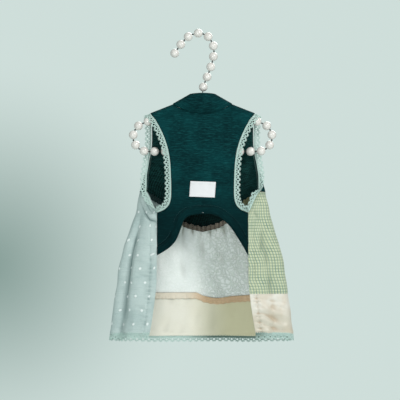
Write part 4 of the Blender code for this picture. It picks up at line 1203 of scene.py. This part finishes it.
def yarns(vector, across_pitch=0.0006, down_pitch=0.0006):
    """Crossing yarns of a plain weave, uneven in thickness: a height and a shade."""
    x, y, _ = split(vector)
    over, under = (
        (place / pitch * (2 * math.pi)).reckon("SINE")
        for place, pitch in ((x, across_pitch), (y, down_pitch))
    )
    long, wide = (
        noise(vector.aligned("MULTIPLY", stretch), 1.0, 2.0)
        for stretch in ((260.0, 1500.0, 1.0), (1500.0, 260.0, 1.0))
    )
    return {"Height": (over * under).scaled(0.5, 0.5), "Shade": (long + wide) * 0.5}


def slubs(vector, length=0.02, thickness=0.0012):
    """Thicker stretches of single yarns, long across and thin down."""
    x, y, _ = split(vector)
    placed = add_node(vector.tree, "CombineXYZ", X=x / length, Y=y / thickness)
    return {"Mask": noise(placed, 1.0, 3.0, roughness=0.6).step(0.48, 0.72)}


def knit(vector, pitch=0.003):
    """Slanting loops in columns, like the inner face of a knit."""
    x, y, _ = split(vector)
    slant = (x / pitch).reckon("PINGPONG", 0.5) * 1.6
    uneven = noise(vector, 180.0, 2.0)
    turns = y / pitch * 1.3 + slant + uneven * 0.5
    wave = (turns * (2 * math.pi)).reckon("SINE").scaled(0.5, 0.5)
    return {"Loop": wave.reckon("POWER", 2.0) * uneven}


def tone(vector, size=0.03):
    """Broad uneven tone of worn, washed cloth, with a finer mottle."""
    scale = 1.0 / size
    return {"Broad": noise(vector, scale, 3.0), "Fine": noise(vector, scale * 14.0, 2.0)}


def dots(vector, across=0.018, down=0.018, radius=0.0013):
    """Round dots in staggered rows, a little unevenly placed."""
    x, y, _ = split(shaken(vector, 40.0, 1.0, 0.007))
    row = y / down
    shift = row.reckon("FLOOR").reckon("PINGPONG", 1.0) * 0.5
    places = ((x / across + shift, across), (row, down))
    aside, below = ((place.reckon("FRACT") - 0.5) * pitch for place, pitch in places)
    return {"Mask": (far_from(aside, below) / radius).step(1.25, 0.6)}


def check(vector, pitch=0.004, band=0.4):
    """Bands of dyed yarn both ways: where the yarns across and down are dyed."""
    half = band * 0.5
    masks = {}
    for name, place in zip(("Across", "Down"), split(vector)):
        middle = ((place / pitch).reckon("FRACT") - 0.5).reckon("ABSOLUTE")
        masks[name] = middle.step(half + 0.12, half - 0.06)
    return masks


def sprigs(vector, size=0.005):
    """Raised leaves and curls of a textured cloth: their height, and the leaves without the ground."""
    scale = 1.0 / size
    placed = shaken(vector, scale * 0.45, 2.0, 0.016)
    leaves = add_node(vector.tree, "TexVoronoi", {"feature": "DISTANCE_TO_EDGE"}, Vector=placed, Scale=scale)
    veins = add_node(vector.tree, "TexVoronoi", {"feature": "F1"}, Vector=placed, Scale=scale * 2.6)
    leaf = leaves.step(0.03, 0.17)
    return {"Height": veins.scaled(-0.35, leaf), "Leaf": leaf}


GROUPS = {}


def effect_group(effect):
    """The node group of an effect, made at its first use."""
    if effect.__name__ not in GROUPS:
        tree = bpy.data.node_groups.new(effect.__name__, "ShaderNodeTree")
        arguments = inspect.signature(effect).parameters
        for name, argument in arguments.items():
            kind = "NodeSocketVector" if name == "vector" else "NodeSocketFloat"
            socket = tree.interface.new_socket(name=title(name), in_out="INPUT", socket_type=kind)
            if name != "vector":
                socket.default_value = argument.default
        given = tree.nodes.new("NodeGroupInput").outputs
        results = effect(*(Value(given[title(name)]) for name in arguments))
        for name in results:
            tree.interface.new_socket(name=name, in_out="OUTPUT", socket_type="NodeSocketFloat")
        gives = tree.nodes.new("NodeGroupOutput").inputs
        for name, value in results.items():
            put(gives[name], value)
        GROUPS[effect.__name__] = tree
    return GROUPS[effect.__name__]


def title(name):
    return name.replace("_", " ").title()


def toned(color, by):
    return tuple(min(1.0, by * part) for part in color)


class Look:
    """A cloth or bead material with one Principled shader, and the shared effects it is built from."""

    def __init__(self, name, roughness, sheen=0.0, specular=0.3):
        self.made = bpy.data.materials.new(name)
        self.made.use_nodes = True
        self.tree = self.made.node_tree
        self.shader = self.tree.nodes["Principled BSDF"]
        self.set(Roughness=roughness, Sheen_Weight=sheen, Sheen_Roughness=0.5, Specular_IOR_Level=specular)

    def set(self, **inputs):
        for name, value in inputs.items():
            put(self.shader.inputs[name.replace("_", " ")], value)

    @cached_property
    def on_cloth(self):
        return add_node(self.tree, "UVMap", {"uv_map": "cloth"})

    @cached_property
    def in_space(self):
        return add_node(self.tree, "TexCoord", output="Object")

    def group(self, effect, vector=None, **sizes):
        made = self.tree.nodes.new("ShaderNodeGroup")
        made.node_tree = effect_group(effect)
        put(made.inputs["Vector"], vector or self.on_cloth)
        for name, value in sizes.items():
            put(made.inputs[title(name)], value)
        return {socket.name: Value(socket) for socket in made.outputs}

    def worn(self, size):
        return self.group(tone, self.in_space, size=size)

    def shaded(self, base, deep, strength=0.8, start=0.52):
        """The base colour with painted shade: it turns to a darker one inside the folds."""
        fold = add_node(self.tree, "Attribute", {"attribute_name": "fold"}, output="Fac")
        return (fold.step(start, 1.0) * strength).mix(base, deep)

    def bump(self, height, distance, strength):
        """Adds a bump on top of those that are there."""
        normal = self.shader.inputs["Normal"]
        under = {"Normal": Value(normal.links[0].from_socket)} if normal.links else {}
        put(normal, add_node(self.tree, "Bump", Height=height, Distance=distance, Strength=strength, **under))


def jersey_look(name, dark, light, slub_color, loop_share=0.0):
    look = Look(name, 0.88, sheen=0.01, specular=0.06)
    slub = look.group(slubs, length=0.014, thickness=0.0010)["Mask"]
    short = look.group(slubs, length=0.006, thickness=0.0009)["Mask"]
    base = look.worn(0.035)["Broad"].step(*TONE_RANGE).mix(dark, light)
    base = (slub * 0.62).mix(base, slub_color)
    base = (short * 0.48).mix(base, slub_color)
    if loop_share:
        loops = look.group(knit, pitch=0.0034)["Loop"]
        base = (loops * loop_share).mix(base, slub_color)
        look.bump(loops, 0.0005, 0.7)
    # Painted shade: the jersey is darker towards the bottom, where less light falls, and darker in its folds.
    low = split(look.in_space)[2].step(-0.17, -0.26) * 0.75
    look.set(Base_Color=look.shaded(low.mix(base, toned(dark, 0.5)), (0.0004, 0.008, 0.010), 0.85))
    look.bump(look.group(yarns, across_pitch=0.00085, down_pitch=0.0006)["Height"], 0.0002, 0.6)
    look.bump(slub, 0.0002, 0.6)
    return look.made


def cotton_look(name, light, dark, pitch=0.0005, slub_share=0.3, deep=None):
    """A plain cotton's look, whose base colour others add to. Its base is painted darker inside the folds, as
    shade.
    """
    look = Look(name, 0.85, sheen=0.1, specular=0.25)
    weave = look.group(yarns, across_pitch=pitch, down_pitch=pitch)
    slub = look.group(slubs, length=0.016, thickness=0.0010)["Mask"]
    worn = look.worn(0.03)
    share = slub.scaled(slub_share, worn["Broad"].step(*TONE_RANGE) * 0.4)
    share = weave["Shade"].step(0.4, 0.65).scaled(0.25, share)
    look.base = look.shaded(share.mix(light, dark), deep or toned(dark, 0.45))
    look.set(Base_Color=look.base)
    look.bump(weave["Height"], 0.00012, 0.5)
    look.bump(slub, 0.00015, 0.5)
    look.bump(worn["Fine"], 0.0006, 0.25)
    return look


def dotted_look():
    pale, shadow = (0.51, 0.59, 0.58), (0.15, 0.22, 0.22)
    look = cotton_look("dotted_cotton", pale, (0.34, 0.44, 0.435), slub_share=0.5, deep=shadow)
    dot = look.group(dots, across=0.0185, down=0.0190, radius=0.0019)["Mask"]
    look.set(Base_Color=(dot * 0.92).mix(look.base, (0.84, 0.88, 0.88)))
    look.bump(dot, 0.0006, 0.8)
    return look.made


def check_look():
    look = cotton_look("check_cotton", (0.60, 0.62, 0.43), (0.50, 0.54, 0.37), slub_share=0.2)
    across, down = look.group(check, pitch=0.0039, band=0.30).values()
    deep = look.worn(0.012)["Broad"].step(0.3, 0.75).scaled(0.35, 0.60)
    one = (across * deep).mix(look.base, (0.17, 0.27, 0.27))
    look.set(Base_Color=(down * deep * 0.85).mix(one, (0.19, 0.27, 0.18)))
    look.bump(across + down, 0.0001, 0.5)
    return look.made


def satin_look():
    """Cream satin, a little tan towards the hem."""
    look = Look("satin", 0.38, sheen=0.2, specular=0.5)
    worn = look.worn(0.02)
    base = worn["Broad"].step(*TONE_RANGE).mix((0.74, 0.70, 0.64), (0.64, 0.56, 0.47))
    base = (split(look.in_space)[2].step(-0.360, -0.385) * 0.65).mix(base, (0.52, 0.46, 0.36))
    shade = look.group(yarns, across_pitch=0.0004, down_pitch=0.0004)["Shade"]
    # Painted shade: the satin turns tan inside its creases.
    look.set(Base_Color=look.shaded(base, (0.47, 0.37, 0.27), 0.8, 0.50), Roughness=shade.scaled(0.16, 0.32))
    look.bump(worn["Broad"], 0.003, 0.5)
    look.bump(worn["Fine"], 0.0005, 0.3)
    return look.made


def cream_look():
    """Cream cotton, with painted shade that makes the +X side darker and more olive."""
    look = cotton_look("cream_cotton", (0.80, 0.76, 0.68), (0.74, 0.69, 0.59), slub_share=0.2)
    # Painted shade: darker and more olive towards +X.
    yellowed = split(look.in_space)[0].step(-0.025, 0.05) * 0.85
    look.set(Base_Color=yellowed.mix(look.base, (0.60, 0.55, 0.35)))
    return look.made


def eyelet_look():
    """White cloth with a raised leaf pattern; the ground between the leaves is painted greyer as shade, more
    towards +X, where the leaves stand out more too.
    """
    white, shadow = (0.86, 0.88, 0.87), (0.24, 0.24, 0.19)
    look = cotton_look("eyelet_cotton", white, (0.78, 0.81, 0.79), slub_share=0.1, deep=shadow)
    sprig = look.group(sprigs, size=0.0052)
    # Painted shade between the raised leaves, stronger towards +X.
    worked = split(look.in_space)[0].step(-0.015, 0.03).scaled(0.46, 0.12)
    look.set(Base_Color=((1.0 - sprig["Leaf"]) * worked).mix(look.base, (0.60, 0.66, 0.60)))
    look.bump(sprig["Height"] * worked, 0.0022, 0.7)
    return look.made


def seam_edge_look(name, light, dark, pitch, sides=(), near=0.0, far=1.0):
    """Overlocked seam allowance: zigzag thread over cloth, turning from near to far across to colours that
    paint the light and shade on each side.
    """
    look = cotton_look(name, light, dark, slub_share=0.5)
    along, down, _ = split(look.on_cloth)
    zigzag = (along / pitch).reckon("PINGPONG", 0.5)
    thread = ((down / 0.0022).reckon("FRACT") - zigzag).reckon("ABSOLUTE").step(0.22, 0.05)
    threaded = (thread * 0.5).mix(look.base, toned(light, 1.7))
    for sign, color in zip((-1.0, 1.0), sides):
        threaded = (split(look.in_space)[0] * sign).step(near, far).mix(threaded, color)
    look.set(Base_Color=threaded)
    look.bump(thread, 0.0004, 0.8)
    return look.made


def thread_look(name, color, mottle=0.004, dulled=None):
    """Spun thread, or lace of it with painted shade towards +X, most beside the hem."""
    look = Look(name, 0.8, sheen=0.15, specular=0.25)
    worn = look.worn(mottle)
    base = worn["Broad"].mix(toned(color, 0.8), color)
    if dulled:
        x = split(look.in_space)[0]
        # Painted shade: darker near the lace's sewn edge, towards +X.
        beside_hem = split(look.on_cloth)[1].step(0.006, 0.002).scaled(0.5, 0.38)
        base = (x.step(-0.03, 0.03) * x.step(0.105, 0.07) * beside_hem).mix(base, dulled)
    look.set(Base_Color=base)
    look.bump(worn["Fine"], 0.0003, 0.5)
    return look.made


def pearl_look():
    look = Look("pearl", 0.24, specular=0.6)
    look.set(Coat_Weight=0.7, Coat_Roughness=0.12, Coat_Tint=(0.80, 0.76, 0.74, 1.0))
    worn = look.worn(0.009)
    look.set(Base_Color=worn["Broad"].step(*TONE_RANGE).mix((0.90, 0.88, 0.86), (0.82, 0.79, 0.77)))
    look.bump(worn["Fine"], 0.0002, 0.15)
    return look.made


def wire_look():
    look = Look("wire", 0.4, specular=0.5)
    look.set(Metallic=0.6, Base_Color=look.worn(0.004)["Broad"].mix((0.03, 0.03, 0.03), (0.10, 0.09, 0.09)))
    return look.made


# Building the pieces


def stand_for(piece, node, slot, extras=()):
    """Makes a piece stand for its solid, with extra pieces that go with it."""
    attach(piece, "root")
    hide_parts(node)
    for extra in extras:
        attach(extra, "root")


def sew(piece, node, slot, flat, area, held, rests_on, extras=(), narrow=()):
    """Makes a cloth piece stand for its solid, with the extra pieces, such as its stitches, that go with it.
    """
    stand_for(piece, node, slot, extras)


def build_bodice():
    teal = jersey_look("jersey", (0.0005, 0.017, 0.020), (0.0012, 0.036, 0.040), (0.0080, 0.092, 0.096))
    # The knit's back face, seen inside the dress: its own loops, on a far darker copy of the teal that paints
    # the shade in there.
    inside = jersey_look(
        "jersey_back_painted_shade", (0.0003, 0.001, 0.001), (0.0006, 0.003, 0.003), (0.020, 0.110, 0.104), 1.3
    )
    thread = thread_look("dark_thread", (0.006, 0.040, 0.045))
    white = thread_look("white_thread", (0.62, 0.66, 0.66))
    overlock = seam_edge_look("overlock", (0.07, 0.13, 0.12), (0.012, 0.03, 0.028), 0.0026)

    turns = 2 * np.pi * steps(96)
    collar = cloth(
        "collar_knit", turns, steps(36), collar_place, JERSEY_WALL, teal, closed=True, shade=shade_on_collar
    )
    sew(collar, "collar", "jersey", (0.179, 0.0245), 0.0033, "hung", "hanger_loop")

    bent = steps(8, -1, 0)[:-1]
    rows = np.concatenate([bent, steps(80)[:-1], 1 + tightening(44, 1.6)])
    panel = cloth(
        "belly_panel_knit", 2 * tightening(130, 1.3) - 1, rows, belly_panel_place, JERSEY_WALL, teal,
        level=True, shade=shade_under_collar,
    )
    across = steps(160, -1, 1)
    lift = JERSEY_WALL / 2 + 0.0001
    x, drop = arch_point(across, BAND_WIDTH + 0.0022)
    top_stitch = stitch_row("belly_panel_stitches", belly_point(x, drop, lift), thread)
    band = cloth("belly_band_knit", across, steps(12), belly_band_place, JERSEY_WALL, teal)
    x, drop = arch_point(steps(8, -0.0384, 0.0384), BAND_WIDTH * 0.18)
    tack = stitch_row("belly_band_tack", belly_point(x, drop, 0.0014), white, 0.0035, 0.0024)
    stand_for(band, "belly_band", "jersey", [tack])
    trims = [band, tack]
    sew(panel, "belly_panel", "jersey", (0.141, 0.200), 0.0156, "hung", "hanger_loop", [top_stitch], trims)

    turned = steps(200, ARMHOLE_CORNER, 360 - ARMHOLE_CORNER)
    rows = np.concatenate([bent, steps(90)])
    back = cloth("back_panel_knit", turned, rows, back_panel_place, JERSEY_WALL, inside, inner=teal)
    rides = [
        cloth(
            f"armhole_seam_{name}", steps(5), steps(176), armhole_seam_place(side), SEAM_EDGE_WALL, overlock
        )
        for name, side in (("right", 1), ("left", -1))
    ]
    woven = cotton_look("label", (0.80, 0.79, 0.81), (0.70, 0.69, 0.72), pitch=0.0006, slub_share=0.1).made
    label = cloth("label_woven", steps(40, -1, 1), steps(26, -1, 1), label_place, LABEL_WALL, woven)
    ends, up = [], steps(12, -0.92, 0.92)
    for name, at in (("left", -0.95), ("right", 0.95)):
        path = label_place(np.full(up.shape, at), up) + points(0, -0.0005, 0)
        ends.append(stitch_row(f"label_stitches_{name}", path, white, 0.0022, 0.0015, 0.0002))
    sew(label, "label", "label", (LABEL_WIDTH, LABEL_HEIGHT), None, "laid", "belly_panel", ends)

    # Painted shade: the ruffle's ends, seen in the armholes, turn to the dark teal and olive of the shade
    # inside the dress.
    sides = ((0.006, 0.03, 0.03), (0.16, 0.16, 0.08))
    brown = seam_edge_look("seam_edge", (0.22, 0.19, 0.15), (0.07, 0.05, 0.04), 0.0022, sides, 0.034, 0.044)
    turned = steps(420, 110, 250)
    ruffle = cloth(
        "waist_ruffle_cloth", turned, steps(8), ruffle_place, RUFFLE_WALL, brown, shade=shade_in_pleats
    )
    stand_for(ruffle, "waist_ruffle", "seam_edge")
    sew(back, "back_panel", "jersey", (0.240, 0.166), 0.0230, "hung", "hanger_loop", rides, [ruffle])


def build_skirt():
    looks = {
        "dotted": dotted_look(), "check": check_look(), "satin": satin_look(), "eyelet": eyelet_look(),
        "cream": cream_look(),
    }
    # Painted light: the tape turns lighter towards -X, out of the shade that lies towards +X.
    tan = seam_edge_look(
        "tan_seam", (0.66, 0.45, 0.29), (0.50, 0.31, 0.18), 0.0030, ((0.82, 0.72, 0.60),), -0.014, 0.024
    )
    aqua = thread_look("aqua_thread", (0.38, 0.52, 0.52))
    green = thread_look("green_thread", (0.50, 0.55, 0.40))
    cream = thread_look("cream_thread", (0.74, 0.66, 0.56))
    gap = SEAM_GAP / 2
    hem_end, seam = HEM_SEAM_DROP - 0.012, HEM_SEAM_DROP - LOWER_TIER_HEIGHT

    def top(angle):
        return skirt_top_drop(angle) + gap

    def tier(side, offset):
        return lambda angle: tier_seam_drop(side, angle) + offset

    def panel(name, columns, rows, place, shade=None):
        name, look = f"skirt_{name}_cloth", looks[name]
        return cloth(name, columns, rows, place, SKIRT_WALL, look, level=True, shade=shade)

    both_tiers = np.concatenate([tightening(90), 1 + tightening(44)[1:]])
    flaps = (
        ("dotted", "dotted_cotton", -1, [top, tier(-1, 0.0), hem_drop], both_tiers, shade_by_armhole,
         (DOTTED_CREASES, 0.0006, 0.0085, 2), aqua, (0.17, hem_end), True,
         ((0.139, 0.196), 0.0246, "gathered", "back_panel")),
        ("check", "check_cotton", 1, [top, tier(1, -gap)], tightening(90), shade_by_armhole,
         (CHECK_CREASES, 0.0004, 0.0085, 4), green, (0.172, seam - 0.002), False,
         ((0.139, 0.138), 0.0163, "gathered", "back_panel")),
        ("satin", "satin", 1, [tier(1, gap), hem_drop], tightening(60), None,
         (SATIN_CREASES, 0.0011, 0.0068, 6), cream, (seam + 0.002, hem_end), True,
         ((0.125, 0.058), 0.0071, "hung", "skirt_check")),
    )
    for name, slot, side, levels, rows, shade, folding, thread, ends, hemmed, cut in flaps:
        made = panel(name, tightening(170, 1.15), rows, skirt_side_place(side, levels, *folding), shade)
        stitches = [facing_stitches(f"skirt_{name}_facing", side, thread, *ends)]
        if hemmed:
            stitches.append(hem_stitches(f"skirt_{name}_hem", side, thread))
        sew(made, f"skirt_{name}", slot, *cut, stitches)

    middle = steps(220, -1, 1)
    place = skirt_back_place(
        lambda side, angle: waist_drop(angle) + gap, lambda side, angle: tier_seam_drop(side, angle) - gap,
        EYELET_TUCKS, 7,
    )
    upper = panel("eyelet", middle, steps(90), place, shade_by_waist)
    sew(upper, "skirt_eyelet", "eyelet_cotton", (0.154, 0.116), 0.0155, "gathered", "back_panel")

    place = skirt_back_place(
        lambda side, angle: tier_seam_drop(side, angle) + gap, lambda side, angle: hem_drop(angle), (), 8
    )
    lower = panel("cream", middle, steps(50), place)
    tape = cloth("tier_tape_cloth", middle[8:-8], steps(6), tape_place, TAPE_WALL, tan)
    stand_for(tape, "tier_tape", "tan_seam")
    sew(lower, "skirt_cream", "cream_cotton", (0.172, 0.061), 0.0095, "hung", "skirt_eyelet", (), [tape])


def build_lace():
    mint = thread_look("lace_cotton", (0.58, 0.74, 0.69))
    for name, side, ways in (("right", 1, STANDING_LACE), ("left", -1, FOLDED_LACE)):
        line, node = armhole_line(side, ways), f"armhole_lace_{name}"
        trim = make_lace(f"{node}_cotton", line, ARMHOLE_LACE_PITCH, (0.0005, 0.0017), mint)
        stand_for(trim, node, "lace")
    # The hem lace has painted shade: dark green near its sewn edge towards +X.
    dulled = thread_look("hem_lace_cotton", (0.54, 0.69, 0.65), 0.006, (0.10, 0.17, 0.14))
    trim = make_lace("hem_lace_cotton", hem_line(), LACE_REPEAT, (0.0002, 0.0014, 0.0026), dulled, True)
    stand_for(trim, "hem_lace", "lace")


def build_hanger():
    pearl, wire = pearl_look(), wire_look()
    stretches = loop_stretches()
    length = 2 * sum(stretch[0] for stretch in stretches)
    count = 2 * round(length / BEAD_PITCH / 2)
    pitch = length / count
    places = [on_loop((i + 0.5) * pitch, stretches) for i in range(count)]
    gaps = [on_loop(i * pitch, stretches) for i in range(1, count)]
    route = [on_loop(i * pitch / 4, stretches)[0] for i in range(4 * count)]
    loop = bead_string("hanger_loop_beads", places, pearl)
    loop_wire = wire_and_knots("hanger_loop_wire", route, gaps, True, wire)

    route = hook_route()
    places = [on_route(route, i * BEAD_PITCH) for i in reversed(range(HOOK_BEADS))]
    gaps = [on_route(route, (i - 0.5) * BEAD_PITCH) for i in range(1, HOOK_BEADS)]
    hook = bead_string("hanger_hook_beads", places, pearl)
    hook_wire = wire_and_knots("hanger_hook_wire", route[:-2], gaps, False, wire)
    for beads, strand, node in ((loop, loop_wire, "hanger_loop"), (hook, hook_wire, "hanger_hook")):
        stand_for(beads, node, "pearl")
        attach(strand, "root")


# Room, light and camera


def aim(made):
    made.rotation_euler = (Vector(PICTURE_CENTER) - made.location).to_track_quat("-Z", "Y").to_euler()


def add_light(name, place, size, power, color):
    light = bpy.data.lights.new(name, "AREA")
    light.shape, light.size = "DISK", size
    light.energy, light.color = power, color
    made = into_scene(name, light)
    made.location = place
    aim(made)


def build_room():
    scene = bpy.context.scene
    scene.world = bpy.data.worlds.new("room")
    scene.world.use_nodes = True
    tree = scene.world.node_tree
    back = tree.nodes["Background"].inputs
    # Painted shadow: a soft darker patch on the backdrop, to the left of and a little below the dress.
    x, _, z = split(add_node(tree, "TexCoord", output="Generated"))
    far = far_from(x + 0.085, z + 0.026)
    put(back["Color"], far.step(-0.02, 0.085).mix((0.20, 0.30, 0.27), (0.62, 0.73, 0.70)))
    put(back["Strength"], add_node(tree, "LightPath", output="Is Camera Ray").scaled(0.40, 0.60))

    look = Look("floor", 0.9)
    look.set(Base_Color=look.worn(0.6)["Broad"].mix((0.70, 0.77, 0.75), (0.76, 0.82, 0.80)))
    bm = bmesh.new()
    bmesh.ops.create_grid(bm, x_segments=2, y_segments=2, size=2.2)
    bmesh.ops.translate(bm, verts=bm.verts, vec=(0, 0, FLOOR_HEIGHT))
    finish_mesh("floor", bm, look.made)

    add_light("key", (1.9, -2.1, 1.5), 0.8, 56, (1.0, 0.99, 0.97))
    add_light("fill", (-0.6, -3.0, -0.1), 1.8, 31, (0.97, 1.0, 1.0))
    add_light("back", (0.6, 2.2, 1.0), 1.6, 30, (1.0, 1.0, 1.0))

    lens = bpy.data.cameras.new("camera")
    lens.sensor_width = 36.0
    lens.lens = lens.sensor_width * CAMERA_DISTANCE / PICTURE_WIDTH
    lens.clip_end = 100
    scene.camera = into_scene("camera", lens)
    scene.camera.location = (PICTURE_CENTER[0], -CAMERA_DISTANCE, PICTURE_CENTER[2])
    aim(scene.camera)
    scene.view_settings.view_transform = "Standard"


build_bodice()
build_skirt()
build_lace()
build_hanger()
build_room()
